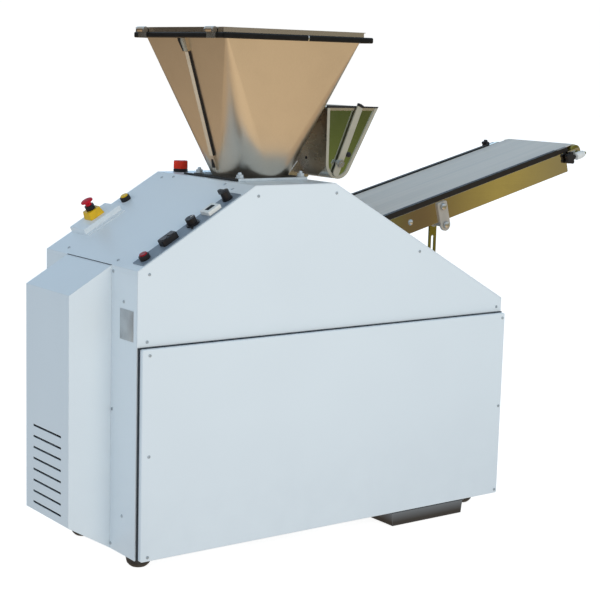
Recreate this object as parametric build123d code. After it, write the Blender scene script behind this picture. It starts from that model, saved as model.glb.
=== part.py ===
"""Volumetric dough divider: cabinet, hopper, dividing head, drive, flour duster, outfeed belt and controls.

Millimetres. The layout is worked out from the cabinet's front left corner: x runs from the left end face to the
outfeed, y from the front face to the back, z up from the floor. Each finished piece is then moved, so that the
origin lies on the floor below the middle of the whole machine.
"""
from build123d import *
import math
import os

# Clearances
slide_gap = 0.5
soft_gap = 0.3
shaft_gap = 0.05
pin_gap = 0.6

# Cabinet sheet work
cabinet_length = 1300.0
cabinet_depth = 517.0
sheet = 2.0
skirt_height = 50.0
left_shoulder = 831.0
right_shoulder = 672.0
roof_height = 1044.0
left_slope_run = 365.0
roof_length = 272.0
roof_flange = 20.0
roof_lip = 12.0
door_height = 576.0
door_gap = 3.0
door_proud = 19.5
door_left_gap = 6.0
door_overhang = 1.0
door_corner = 6.0
door_bend = 3.0

# Motor cover on the left end
cover_depth = 127.0
cover_width = 251.0
cover_front = 137.0
cover_slant = 74.5
vent_count = 8
vent_length = 166.0
vent_height = 6.0
vent_pitch = 31.2
vent_lowest = 98.5

# Welded frame and feet
bar = 40.0
frame_underside = 60.0
foot_plate = 8.0
foot_plate_length = 110.0
foot_plate_depth = 150.0
foot_left_inset = 68.0
foot_right_inset = 42.0
foot_depth_inset = 98.0
foot_radius = 37.0
foot_flat_radius = 21.0
foot_dome = 32.0
foot_washer = 5.0
foot_washer_radius = 26.0
foot_stud_radius = 8.0
foot_nut_radius = 14.0
waist_bar_above_door = 20.0

# Drip tray under the outfeed end
tray_length = 285.0
tray_depth = 300.0
tray_height = 40.0
tray_lip = 8.0
tray_wall = 1.5
tray_front = -10.0
tray_clear_of_floor = 5.0
tray_from_right = 135.0
tray_draft = 5.0

# Hopper
hopper_setback = 144.0
head_y = 243.0
hopper_wall = 2.0
hopper_rim_length = 508.0
hopper_rim_depth = 471.0
hopper_rim_height = 1439.0
hopper_flange = 28.0
hopper_outlet_radius = 108.0
hopper_corner = 3.0
hopper_base_size = 238.0
hopper_base_plate = 8.0
hopper_strip_width = 16.0
hopper_strip_proud = 7.0
trim_height = 16.0
trim_under = 5.0
trim_depth = 9.0
trim_cover = 3.0
trim_corner = 6.0
trim_edge = 4.0
throat_size = 148.0
flange_bolt_inset = 14.0
flange_bolt_radius = 11.0
flange_bolt_head = 8.0
flange_washer = 2.0

# Hopper lid
lid_skirt = 13.5
lid_side_inset = 6.0
lid_far_inset = 32.0
lid_lip = 5.0
lid_from_hinge = 9.0
hinge_inset = 56.0
hinge_barrel = 30.0
hinge_barrel_radius = 7.5
hinge_pin_radius = 3.5
hinge_lug = 6.0
hinge_from_trim = 5.0
hinge_leaf = 4.0

# Dividing head
chamber_drop = 86.5
ram_width = 148.0
ram_height = 81.0
ram_length = 140.0
ram_stroke = 120.0
ram_short_of_centre = 49.0
casting_left = 104.0
casting_right = 103.0
casting_wall = 25.5
casting_floor = 31.5
casting_notch = 45.0
knife_length = 74.0
knife_thickness = 10.0
knife_ledge = 1.5
knife_back_of_centre = 95.0
knife_bevel = 8.0
drum_from_centre = 146.0
drum_radius = 60.0
drum_length = 160.0
drum_journal_radius = 20.0
ear_radius = 50.0
drum_lever_length = 60.0
drum_lever_thickness = 12.0
pocket_radius = 35.0
pocket_depth = 98.0
piston_length = 45.0
piston_travel = 46.0

# Rocker that works the ram
clevis_length = 65.0
clevis_cheek = 16.0
clevis_height = 60.0
wrist_back = 45.0
wrist_drop = 52.5
wrist_radius = 12.0
rocker_reach = 475.0
rocker_thickness = 30.0
rocker_root_half = 38.0
rocker_tip_half = 30.0
rocker_fork = 24.0
rocker_fork_bottom = 20.0
rocker_hub_radius = 44.0
rocker_shaft_radius = 20.0
drive_arm_reach = 175.0
drive_arm_thickness = 24.0
drive_arm_front = 110.0
pedestal_front = 64.0
pedestal_thickness = 26.0
pedestal_width = 74.0
pedestal_head = 44.0

# Crank drive
crank_radius = 22.0
crank_disc_radius = 60.0
crank_disc_thickness = 20.0
crank_shaft_radius = 20.0
crank_shaft_depth = 50.0
rod_length = 165.0
rod_thickness = 22.0
rod_side_gap = 4.0
rod_eye_radius = 24.0
rod_shank = 28.0
gearbox_length = 155.0
gearbox_width = 115.0
gearbox_above_crank = 74.0
gearbox_foot = 60.0
gearbox_boss = 10.0
gearbox_boss_radius = 34.0
gearbox_round = 12.0
worm_drop = 72.0
input_shaft_radius = 14.0
input_shaft_depth = 45.0
motor_shaft_height = 112.0
motor_radius = 92.0
motor_fin = 8.0
motor_fin_count = 22
motor_length = 195.0
motor_bell = 35.0
motor_cowl = 36.0
motor_from_end = 60.0
motor_foot_length = 150.0
motor_foot_width = 190.0
motor_box = 70.0
motor_box_height = 30.0
motor_plate = 8.0
pulley_face = -28.0
pulley_width = 44.0
groove_pitch = 19.0
small_pulley_radius = 45.0
large_pulley_radius = 85.0
belt_top = 13.0
belt_depth = 8.0
belt_side_slant = 2.7
shaft_hole_radius = 30.0

# Flour duster over the belt
duster_front = 115.0
duster_from_back = 112.0
duster_wall = 2.0
duster_end = 3.0
duster_rim = 10.0
duster_rim_sheet = 2.0
duster_end_gap = 0.1
duster_left = 50.0
duster_round = 45.0
duster_axis_above_roof = 46.0
duster_top_above_roof = 208.0
duster_slant = 29.0
duster_slot = 8.0
duster_slot_margin = 30.0
duster_skirt = 36.0
skirt_cut_length = 36.0
skirt_cut_height = 28.0
gusset_thickness = 4.0
gusset_from_front = 137.0
gusset_from_back = 62.0
agitator_radius = 37.0
agitator_vane = 5.0
agitator_hub = 12.0
agitator_shaft = 7.0
agitator_end_gap = 4.0
lever_width = 20.0
lever_thickness = 5.0
lever_up = 186.0
lever_down = 40.0
lever_lean = 23.0
lever_washer_radius = 12.0
lever_washer = 3.0
lever_nut_radius = 8.0
lever_nut = 8.0
lever_stop_radius = 6.0
lever_stop_length = 9.0
lever_stop_across = 30.0
lever_stop_up = 25.0

# Outfeed conveyor
conveyor_slope = 14.7
conveyor_from_roof = 3.0
conveyor_below_roof = 183.0
conveyor_centres = 1085.0
conveyor_front = 92.0
conveyor_from_back = 92.0
side_plate = 3.0
side_plate_height = 64.0
side_plate_drop = 13.0
side_plate_lead = 26.0
side_plate_short = 50.0
axle_tongue = 16.0
axle_tongue_height = 32.0
side_flange = 2.0
roller_end_gap = 1.0
sleeve_stud_radius = 5.0
sleeve_stud_length = 24.0
sleeve_stud_before_roller = 2.0
sleeve_stud_drop = 34.0
belt_thickness = 2.0
belt_side_gap = 16.0
roller_radius = 22.0
roller_axle_radius = 6.0
bed_thickness = 3.0
bed_skirt = 24.0
bed_end_gap = 45.0
spacer_radius = 10.0
spacer_count = 3
guide_width = 14.0
guide_rise = 4.0
guide_start = 170.0
guide_end = 1000.0
end_block_gap = 1.0
end_block_length = 45.0
end_block_top = 1.0
tilt_pin_radius = 10.0
tilt_pin_length = 15.0
tilt_pin_drop = 45.0
tilt_plate = 12.0
tilt_plate_gap = 4.0
tilt_plate_length = 80.0
tilt_plate_height = 72.0
near_knob_radius = 21.0
near_knob_before_roller = 42.0
near_knob_drop = 33.0
far_knob_radius = 14.0
knob_height = 16.0
knob_lobes = 5
far_knob_past_strip = 6.0
far_knob_rise = 3.0
outfeed_open_from = 53.0
outfeed_open_clear = 28.0
outfeed_open_margin = 80.0
conveyor_motor_radius = 32.0
conveyor_motor_length = 70.0

# Stay that sets the belt's height
link_from_start = 486.0
link_width = 38.0
link_thickness = 6.0
link_top = 17.0
link_bolt_top = 32.0
link_bolt_low = 90.0
link_bolt_radius = 9.0
link_bolt_head = 6.0
cross_rod_radius = 8.0
stay_offset = 51.0
stay_width = 28.0
stay_thickness = 6.0
stay_length = 225.0
stay_head = 20.0
stay_collar_radius = 12.0
stay_collar = 3.0
stay_slot_width = 13.0
stay_slot_start = 38.0
stay_slot_end = 14.0
stud_radius = 4.0
stud_below_rod = 165.0
stay_plate_gap = 5.0
stay_plate = 6.0
stay_plate_width = 40.0
stay_plate_top = 12.0
stay_hole_length = 60.0
stay_hole_width = 24.0
wing_radius = 11.0
wing_height = 10.0

# Control strip and its parts, along the left slope from its lower edge
strip_start = 23.0
strip_length = 351.0
strip_front = 6.0
strip_width = 56.0
strip_thickness = 2.0
bezel_radius = 15.0
bezel_height = 13.0
bezel_floor = 6.0
cap_radius = 11.0
cap_rise = 4.0
cap_stem_radius = 4.0
cap_stem_in_floor = 1.5
cap_travel = 4.0
red_button_at = 50.0
twin_button_at = 134.0
twin_length = 52.0
twin_spread = 12.5
twin_height = 17.0
twin_cap_rise = 1.0
speed_knob_at = 218.0
speed_skirt_radius = 19.0
speed_skirt = 4.0
speed_knob_radius = 14.5
speed_knob_height = 17.0
speed_knob_grip = 12
counter_at = 285.0
counter_size = 44.0
counter_height = 11.0
counter_window_length = 26.0
counter_window_width = 18.0
counter_window_depth = 1.5
selector_at = 344.0
selector_radius = 13.0
selector_height = 22.0
selector_lever_reach = 28.0
selector_lever_tail = 8.0
selector_lever_width = 11.0
selector_lever_height = 11.0
selector_lever_rise = 1.0
spindle_radius = 4.0

# Emergency stop, yellow button and lamp
stop_box_start = 90.0
stop_box_length = 133.0
stop_box_width = 86.0
stop_box_height = 17.0
stop_box_back_gap = 6.0
stop_box_flange = 18.0
stop_at = 158.0
stop_from_back = 46.0
stop_housing_size = 48.0
stop_housing_top = 40.0
stop_housing_height = 22.0
stop_collar_radius = 14.0
stop_collar_height = 14.0
stop_stem_radius = 9.0
stop_stem_in_collar = 8.0
stop_head_radius = 18.0
stop_head_height = 13.0
stop_travel = 5.0
yellow_at = 270.0
yellow_from_back = 44.0
lamp_from_slope = 62.0
lamp_from_back = 28.0
lamp_base_radius = 20.0
lamp_base_height = 7.0
lamp_lens_radius = 19.0
lamp_lens_height = 27.0
lamp_lens_edge = 3.0

# Worked out from the sizes above
left_slope = math.degrees(math.atan2(roof_height - left_shoulder, left_slope_run))
right_slope_x = left_slope_run + roof_length
right_slope_run = cabinet_length - right_slope_x
right_slope = math.degrees(math.atan2(roof_height - right_shoulder, right_slope_run))
door_top = skirt_height + door_height
door_back = sheet
frame_front = sheet
frame_back = cabinet_depth - sheet
frame_right = cabinet_length - sheet
frame_top = frame_underside + bar
waist_top = door_top + waist_bar_above_door

hopper_x = left_slope_run + hopper_setback
chamber_z = roof_height - chamber_drop
bore_half_width = ram_width / 2 + slide_gap
bore_low = chamber_z - ram_height / 2 - slide_gap
bore_high = chamber_z + ram_height / 2 + slide_gap
casting_half = bore_half_width + casting_wall
head_base = bore_low - casting_floor
ram_face = hopper_x - ram_short_of_centre
ram_back = ram_face - ram_length
knife_low = bore_high + soft_gap
drum_x = hopper_x + drum_from_centre
pedestal_back = 2 * head_y - pedestal_front - pedestal_thickness

wrist_x = ram_back - wrist_back
wrist_z = chamber_z - wrist_drop
rocker_x = wrist_x + ram_stroke / 2
rocker_z = wrist_z - rocker_reach
rocker_lean = math.degrees(math.atan2(ram_stroke / 2, rocker_reach))
drive_pin_x = rocker_x - drive_arm_reach * math.sin(math.radians(rocker_lean))
crank_z = rocker_z + drive_arm_reach * math.cos(math.radians(rocker_lean))
crank_x = drive_pin_x - rod_length + crank_radius
drive_arm_back = drive_arm_front + drive_arm_thickness
rod_front = drive_arm_back + rod_side_gap
rod_back = rod_front + rod_thickness
disc_front = rod_back + 2 * slide_gap
disc_back = disc_front + crank_disc_thickness

cover_y = cover_front + cover_width / 2
gearbox_left = crank_x - gearbox_length / 2
gearbox_front = cover_y - gearbox_width / 2
worm_z = crank_z - worm_drop
gearbox_base = worm_z - gearbox_foot
motor_z = frame_top + motor_shaft_height
motor_left = motor_from_end

duster_x = right_slope_x + duster_left + duster_round
duster_z = roof_height + duster_axis_above_roof
duster_top = roof_height + duster_top_above_roof
duster_back = cabinet_depth - duster_from_back

conveyor_start = right_slope_x + conveyor_from_roof
conveyor_start_height = roof_height - conveyor_below_roof
conveyor_back = cabinet_depth - conveyor_from_back
belt_radius = roller_radius + soft_gap + belt_thickness
conveyor_cos = math.cos(math.radians(conveyor_slope))
conveyor_sin = math.sin(math.radians(conveyor_slope))
belt_front = conveyor_front + belt_side_gap
belt_back = conveyor_back - belt_side_gap
plate_top = -side_plate_drop
plate_bottom = plate_top - side_plate_height
stay_y = conveyor_front + stay_offset
rod_x = conveyor_start + link_from_start * conveyor_cos + link_bolt_low * conveyor_sin
rod_z = conveyor_start_height + link_from_start * conveyor_sin - link_bolt_low * conveyor_cos
stud_z = rod_z - stud_below_rod

strip_y = strip_front + strip_width / 2
stop_y = cabinet_depth - stop_from_back
yellow_y = cabinet_depth - yellow_from_back
lamp_x = left_slope_run + lamp_from_slope
lamp_y = cabinet_depth - lamp_from_back

rim_left = hopper_x - hopper_rim_length / 2
rim_front = head_y - hopper_rim_depth / 2
rim_back = head_y + hopper_rim_depth / 2
rim_right = hopper_x + hopper_rim_length / 2
trim_low = hopper_rim_height - trim_under
trim_top = trim_low + trim_height
hinge_x = rim_left - hinge_from_trim
hinge_z = trim_top + hinge_barrel_radius
lid_left = hinge_x + lid_from_hinge

tray_right = cabinet_length - tray_from_right
tray_left = tray_right - tray_length
tray_top = tray_clear_of_floor + tray_height

machine_left = -cover_depth
belt_tip = conveyor_start + conveyor_centres * conveyor_cos + belt_radius * conveyor_sin + belt_radius
tongue_tip = (conveyor_start + (conveyor_centres + axle_tongue) * conveyor_cos
              + (side_plate_drop + axle_tongue_height) * conveyor_sin)
machine_right = max(belt_tip, tongue_tip)
origin_x = (machine_left + machine_right) / 2
origin_y = (cabinet_depth - door_proud) / 2

slope_frame = Plane(
    origin=(0, 0, left_shoulder),
    x_dir=(math.cos(math.radians(left_slope)), 0, math.sin(math.radians(left_slope))),
    z_dir=(-math.sin(math.radians(left_slope)), 0, math.cos(math.radians(left_slope))),
)
conveyor_frame_plane = Plane(
    origin=(conveyor_start, 0, conveyor_start_height),
    x_dir=(conveyor_cos, 0, conveyor_sin),
    z_dir=(-conveyor_sin, 0, conveyor_cos),
)


# Shared shapes

def block(x0, x1, y0, y1, z0, z1):
    """A box between two corners."""
    centre = Pos((x0 + x1) / 2, (y0 + y1) / 2, (z0 + z1) / 2)
    return centre * Box(x1 - x0, y1 - y0, z1 - z0)


def round_x(y, z, x0, x1, radius):
    """A cylinder along x."""
    return Pos((x0 + x1) / 2, y, z) * Rot(0, 90, 0) * Cylinder(radius, x1 - x0)


def round_y(x, z, y0, y1, radius):
    """A cylinder along y."""
    return Pos(x, (y0 + y1) / 2, z) * Rot(90, 0, 0) * Cylinder(radius, y1 - y0)


def round_z(x, y, z0, z1, radius):
    """A cylinder along z."""
    return Pos(x, y, (z0 + z1) / 2) * Cylinder(radius, z1 - z0)


def across(face, y0, y1):
    """A flat outline, drawn with x to the right and z up, made solid from y0 to y1."""
    plane = Plane(origin=(0, y1, 0), x_dir=(1, 0, 0), z_dir=(0, -1, 0))
    return extrude(plane * face, amount=y1 - y0)


def outline(*points):
    """A face inside a closed line of straight runs."""
    return make_face(Polyline(*points, close=True))


def hex_head(radius, height):
    """A hexagon bolt head standing on z = 0, its upper corners turned off."""
    head = extrude(RegularPolygon(radius, 6), amount=height)
    turned = Pos(0, 0, height / 2) * Cylinder(radius * 1.02, height)
    return head & chamfer(turned.edges().group_by(Axis.Z)[-1], height * 0.2)


def on_slope(along, y, up, shape):
    """Places a shape on the left slope, its own z square to the sheet."""
    return slope_frame.location * Pos(along, y, up) * shape


def roof_points(drop):
    """The four corners of the roof line, lowered square to each face by drop."""
    left_fall = drop / math.cos(math.radians(left_slope))
    right_fall = drop / math.cos(math.radians(right_slope))
    left_shift = (left_fall - drop) / math.tan(math.radians(left_slope))
    right_shift = (right_fall - drop) / math.tan(math.radians(right_slope))
    return [
        (0, left_shoulder - left_fall),
        (left_slope_run + left_shift, roof_height - drop),
        (right_slope_x - right_shift, roof_height - drop),
        (cabinet_length, right_shoulder - right_fall),
    ]


def right_roof_z(x):
    """Height of the right slope's outer face."""
    return roof_height - (x - right_slope_x) * math.tan(math.radians(right_slope))


def roofed_face(low):
    """One long side of the cabinet from height low up to the roof sheets' underside, clear of their lips."""
    roof = roof_points(sheet)
    left_lip = left_shoulder - roof_lip
    right_lip = right_shoulder - roof_lip
    left_top = roof[0][1] + sheet * math.tan(math.radians(left_slope))
    right_top = roof[3][1] + sheet * math.tan(math.radians(right_slope))
    return outline((0, low), (0, left_lip), (sheet, left_lip), (sheet, left_top), roof[1], roof[2],
                   (frame_right, right_top), (frame_right, right_lip), (cabinet_length, right_lip),
                   (cabinet_length, low))


def side_panel(low, y0, y1, hollow_y0, hollow_y1):
    """A long side sheet with a flange turned in under the roof sheets."""
    roof = roof_points(2 * sheet)
    hollow = outline((-sheet, low - sheet), (-sheet, roof[0][1] - sheet * math.tan(math.radians(left_slope))),
                     roof[1], roof[2],
                     (cabinet_length + sheet, roof[3][1] - sheet * math.tan(math.radians(right_slope))),
                     (cabinet_length + sheet, low - sheet))
    return across(roofed_face(low), y0, y1) - across(hollow, hollow_y0, hollow_y1)


# Frame and feet

def base_frame():
    """Welded square bars: base, posts, waist, portals under the dividing head, gearbox bed and bearings."""
    front = (frame_front, frame_front + bar)
    back = (frame_back - bar, frame_back)
    between = (front[1], back[0])
    left = (sheet, sheet + bar)
    right = (frame_right - bar, frame_right)
    rocker_bar = (rocker_x - bar / 2, rocker_x + bar / 2)
    portal_a = (hopper_x - ram_short_of_centre - bar / 2, hopper_x - ram_short_of_centre + bar / 2)
    portal_b = (drum_x - drum_radius - bar + slide_gap * 10, drum_x - drum_radius + slide_gap * 10)
    middle = (drum_x + bar, drum_x + 2 * bar)
    gear_bar = (crank_x + gearbox_length / 2 - 35, crank_x + gearbox_length / 2 + 5)
    frame = block(*left, *between, frame_underside, frame_top)
    for run in (rocker_bar, middle, right):
        frame += block(*run, *between, frame_underside, frame_top)
    for side in (front, back):
        frame += block(left[0], right[1], *side, frame_underside, frame_top)
        frame += block(left[0], right[1], *side, waist_top - bar, waist_top)
        frame += block(*left, *side, frame_top, left_shoulder - bar)
        frame += block(*right, *side, frame_top, waist_top)
        frame += block(*gear_bar, *side, frame_top, gearbox_base)
        for portal in (portal_a, portal_b):
            frame += block(*portal, *side, frame_top, head_base)
    for portal in (portal_a, portal_b):
        frame += block(*portal, *between, head_base - bar, head_base)
    for run in (left, gear_bar):
        frame += block(*run, *between, gearbox_base - bar, gearbox_base)
    bearer = bar * 0.75
    for y in (gearbox_front, gearbox_front + gearbox_width - bearer):
        frame += block(left[1], gear_bar[0], y, y + bearer, gearbox_base - bearer, gearbox_base)
    plate_half = motor_foot_width / 2 + bearer / 2
    plate = (cover_y - plate_half, cover_y + plate_half)
    frame += block(left[1], rocker_bar[0], *plate, frame_top - motor_plate, frame_top)
    for y in (pedestal_front, pedestal_back):
        frame += rocker_pedestal(y)
    frame += tilt_bracket(conveyor_front - tilt_plate_gap - tilt_plate, portal_b, front[1], True)
    frame += tilt_bracket(conveyor_back + tilt_plate_gap, portal_b, back[0], False)
    foot_low = frame_underside - foot_plate
    for x, y in foot_places():
        x0 = left[0] if x < cabinet_length / 2 else right[1] - foot_plate_length
        y0 = front[0] if y < cabinet_depth / 2 else back[1] - foot_plate_depth
        plate = block(x0, x0 + foot_plate_length, y0, y0 + foot_plate_depth, foot_low, frame_underside)
        frame += plate - round_z(x, y, foot_low, frame_underside, foot_stud_radius + slide_gap)
    for runner in tray_runners():
        frame += runner
    return frame


def rocker_pedestal(y):
    """Bearing plate for the rocker shaft, standing on the base, with a round head."""
    y1 = y + pedestal_thickness
    half = pedestal_width / 2
    plate = block(rocker_x - half, rocker_x + half, y, y1, frame_top, rocker_z)
    plate += round_y(rocker_x, rocker_z, y, y1, pedestal_head)
    return plate - round_y(rocker_x, rocker_z, y, y1, rocker_shaft_radius + shaft_gap)


def tilt_bracket(y, portal, bar_face, in_front):
    """Plate that carries one of the conveyor's tilt pins, on a stub from the portal post."""
    pin_x, pin_z = belt_point(0, -tilt_pin_drop)
    low = pin_z - tilt_plate_height / 2
    high = pin_z + tilt_plate_height / 2
    plate = block(portal[0], portal[1] + tilt_plate_length, y, y + tilt_plate, low, high)
    reach = (bar_face, y) if in_front else (y + tilt_plate, bar_face)
    stub = block(*portal, *reach, low, high)
    return plate + stub - round_y(pin_x, pin_z, y, y + tilt_plate, tilt_pin_radius + shaft_gap)


def belt_point(along, up):
    """A point of the conveyor's tilted frame, as x and z."""
    x = conveyor_start + along * conveyor_cos - up * conveyor_sin
    z = conveyor_start_height + along * conveyor_sin + up * conveyor_cos
    return x, z


def foot_places():
    """Centres of the four feet."""
    xs = (foot_left_inset, cabinet_length - foot_right_inset)
    ys = (foot_depth_inset, cabinet_depth - foot_depth_inset)
    return [(x, y) for x in xs for y in ys]


def levelling_feet():
    """Four domed rubber feet with a washer, a nut and a stud."""
    plate_low = frame_underside - foot_plate
    with BuildSketch(Plane.XZ) as half:
        with BuildLine():
            Line((0, 0), (foot_flat_radius, 0))
            bulge = JernArc((foot_flat_radius, 0), (1, 0.6), foot_dome, 30)
            Line(bulge @ 1, (foot_radius, foot_dome))
            Line((foot_radius, foot_dome), (foot_radius - 1, foot_dome + 1))
            Line((foot_radius - 1, foot_dome + 1), (0, foot_dome + 1))
            Line((0, foot_dome + 1), (0, 0))
        make_face()
    dome = revolve(half.sketch, Axis.Z)
    washer_top = foot_dome + 1 + foot_washer
    foot = dome + round_z(0, 0, foot_dome + 1, washer_top, foot_washer_radius)
    foot += Pos(0, 0, washer_top) * extrude(RegularPolygon(foot_nut_radius, 6), amount=plate_low - washer_top)
    foot += round_z(0, 0, washer_top, frame_underside, foot_stud_radius)
    return Compound(children=[Pos(x, y, 0) * foot for x, y in foot_places()])


# Cabinet panels

def front_upper_panel():
    """Front sheet above the door."""
    return side_panel(door_top + door_gap, 0, roof_flange, sheet, roof_flange)


def rear_panel():
    """Back sheet over the whole height."""
    inner = cabinet_depth - roof_flange
    return side_panel(skirt_height, inner, cabinet_depth, inner, cabinet_depth - sheet)


def left_end_panel():
    """Left end sheet with the two holes for the drive shafts."""
    panel = block(0, sheet, sheet, cabinet_depth - sheet, skirt_height, left_shoulder - roof_lip)
    for z in (motor_z, worm_z):
        panel -= round_x(cover_y, z, 0, sheet, shaft_hole_radius)
    return panel


def right_end_panel():
    """Right end sheet."""
    top = right_shoulder - roof_lip
    return block(frame_right, cabinet_length, sheet, cabinet_depth - sheet, skirt_height, top)


def front_door():
    """Proud door: a folded pan with rounded front corners."""
    left = door_left_gap
    right = cabinet_length + door_overhang
    pan = block(left, right, -door_proud, door_back, skirt_height, door_top)
    pan = fillet(pan.edges().filter_by(Axis.Y), door_corner)
    pan = fillet(pan.faces().sort_by(Axis.Y)[0].edges(), door_bend)
    low = skirt_height + sheet
    inner = block(left + sheet, right - sheet, sheet - door_proud, door_back, low, door_top - sheet)
    return pan - inner


def control_slope_panel():
    """Sloping sheet over the left end with a lip turned down over the end panel."""
    outer = roof_points(0)
    inner = roof_points(sheet)
    lip_low = left_shoulder - roof_lip
    inner_low = inner[0][1] + sheet * math.tan(math.radians(left_slope))
    face = outline(outer[0], outer[1], inner[1], (sheet, inner_low), (sheet, lip_low), (0, lip_low))
    return across(face, 0, cabinet_depth)


def top_plate():
    """Flat roof sheet with the throat under the hopper."""
    outer = roof_points(0)
    inner = roof_points(sheet)
    plate = across(outline(outer[1], outer[2], inner[2], inner[1]), 0, cabinet_depth)
    return plate - throat(roof_height - sheet, roof_height)


def throat(low, high):
    """The square way from the hopper's outlet down to the ram."""
    half = throat_size / 2
    return block(hopper_x - half, hopper_x + half, head_y - half, head_y + half, low, high)


def outfeed_cover():
    """Right slope with the outfeed opening, the hole for the stay and a lip over the end panel."""
    outer = roof_points(0)
    inner = roof_points(sheet)
    lip_low = right_shoulder - roof_lip
    inner_low = inner[3][1] + sheet * math.tan(math.radians(right_slope))
    face = outline(
        outer[2],
        outer[3],
        (cabinet_length, lip_low),
        (frame_right, lip_low),
        (frame_right, inner_low),
        inner[2],
    )
    cover = across(face, 0, cabinet_depth)
    x0 = right_slope_x + outfeed_open_from
    x1 = outfeed_end()
    reach = roof_height - right_shoulder
    open_back = cabinet_depth - outfeed_open_margin
    cover -= block(x0, x1, outfeed_open_margin, open_back, right_shoulder, roof_height)
    half = stay_hole_length / 2
    middle = stay_y + stay_thickness / 2
    slot = (middle - stay_hole_width / 2, middle + stay_hole_width / 2)
    return cover - block(rod_x - half, rod_x + half, *slot, roof_height - reach, roof_height)


def outfeed_end():
    """Where the conveyor's underside stands clear of the right slope, as x."""
    fall = math.tan(math.radians(right_slope))
    climb = math.tan(math.radians(conveyor_slope))
    under_x, under_z = belt_point(0, plate_bottom)
    above = right_roof_z(under_x) - under_z
    return under_x + (above + outfeed_open_clear) / (fall + climb)


def motor_cover():
    """Belt guard on the left end: slanted top and bottom, open towards the cabinet, with vent slots."""
    t = sheet
    top = left_shoulder
    low = skirt_height
    face = outline((0, low), (-cover_depth, low + cover_slant), (-cover_depth, top - cover_slant), (0, top))
    shell = across(face, cover_front, cover_front + cover_width)
    rise = t / math.cos(math.atan2(cover_slant, cover_depth))
    inner_slant = cover_slant * (cover_depth - t) / cover_depth
    hollow = outline((0, low + rise), (t - cover_depth, low + rise + inner_slant),
                     (t - cover_depth, top - rise - inner_slant), (0, top - rise))
    shell -= across(hollow, cover_front + t, cover_front + cover_width - t)
    vent_low = (-cover_depth, cover_y, skirt_height + vent_lowest)
    vent_plane = Plane(origin=vent_low, x_dir=(0, 1, 0), z_dir=(1, 0, 0))
    vent = extrude(vent_plane * SlotOverall(vent_length, vent_height), amount=t)
    for i in range(vent_count):
        shell -= Pos(0, 0, i * vent_pitch) * vent
    return shell


# Drip tray

def tray_runners():
    """Two angles under the base bars that carry the tray's lips; they belong to the frame."""
    runners = []
    low = tray_top - tray_wall - soft_gap - sheet
    y0 = frame_front
    y1 = frame_back
    # The shelves start behind the front bar, so nothing stands over the tray's mouth.
    y_shelf = frame_front + bar + tray_lip
    for x, inward in ((tray_left, 1), (tray_right, -1)):
        outer = x - inward * (tray_lip + slide_gap + sheet)
        shelf_end = x - inward * slide_gap
        upright = sorted((outer, outer + inward * sheet))
        shelf = sorted((outer, shelf_end))
        runner = block(*upright, y0, y1, tray_top + soft_gap, frame_underside)
        runner += block(*upright, y_shelf, y1, low, tray_top + soft_gap)
        runner += block(*shelf, y_shelf, y1, low, low + sheet)
        runners.append(runner)
    return runners


def drip_tray():
    """Shallow sheet tray with drawn-in sides and lips that ride on the runners."""
    x = (tray_left + tray_right) / 2
    y = tray_front + tray_depth / 2
    d = 2 * tray_draft
    outer = loft([
        Pos(x, y, tray_clear_of_floor) * Rectangle(tray_length - d, tray_depth),
        Pos(x, y, tray_top) * Rectangle(tray_length, tray_depth),
    ])
    w = 2 * tray_wall
    inner = loft([
        Pos(x, y, tray_clear_of_floor + tray_wall) * Rectangle(tray_length - d - w, tray_depth - w),
        Pos(x, y, tray_top) * Rectangle(tray_length - w, tray_depth - w),
    ])
    tray = outer - inner
    y0 = tray_front
    y1 = tray_front + tray_depth
    tray += block(tray_left - tray_lip, tray_left + tray_wall, y0, y1, tray_top - tray_wall, tray_top)
    tray += block(tray_right - tray_wall, tray_right + tray_lip, y0, y1, tray_top - tray_wall, tray_top)
    return tray


# Hopper

def hopper_cone(grow):
    """Square-to-round body: flat sides that end in a round outlet, with conical corners between them."""
    top = RectangleRounded(
        hopper_rim_length - 2 * hopper_flange + 2 * grow,
        hopper_rim_depth - 2 * hopper_flange + 2 * grow,
        hopper_corner + grow,
    )
    r = hopper_outlet_radius - hopper_wall + grow
    flat = hopper_wall
    bottom = RectangleRounded(2 * r + flat, 2 * r + flat, r)
    low = roof_height + hopper_base_plate
    low_face = Pos(hopper_x, head_y, low) * bottom
    high_face = Pos(hopper_x, head_y, hopper_rim_height) * top
    return loft([low_face, high_face], ruled=True)


def hopper_shell():
    """Sheet hopper with a flange turned out at the rim and a welded strip down its left side."""
    shell = hopper_cone(hopper_wall)
    edge = 2 * trim_cover
    flange = Rectangle(hopper_rim_length - edge, hopper_rim_depth - edge)
    under = hopper_rim_height - hopper_wall
    shell += Pos(hopper_x, head_y, under) * extrude(flange, amount=hopper_wall)
    shell += hopper_strip()
    return shell - hopper_cone(0)


def hopper_strip():
    """Flat strip along the middle of the left side, from the flange to just above the outlet."""
    rim_x = rim_left + hopper_flange
    outlet_x = hopper_x - hopper_outlet_radius
    low = roof_height + hopper_base_plate
    high = hopper_rim_height - hopper_wall
    slant = (rim_x - outlet_x) / (hopper_rim_height - low)
    start = low + hopper_strip_width
    end_x = outlet_x + slant * (high - low)
    start_x = outlet_x + slant * (start - low)
    proud = hopper_strip_proud
    inside = hopper_wall / 2
    face = outline(
        (start_x - proud, start),
        (start_x + inside, start),
        (end_x + inside, high),
        (end_x - proud, high),
    )
    half = hopper_strip_width / 2
    return across(face, head_y - half, head_y + half)


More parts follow.
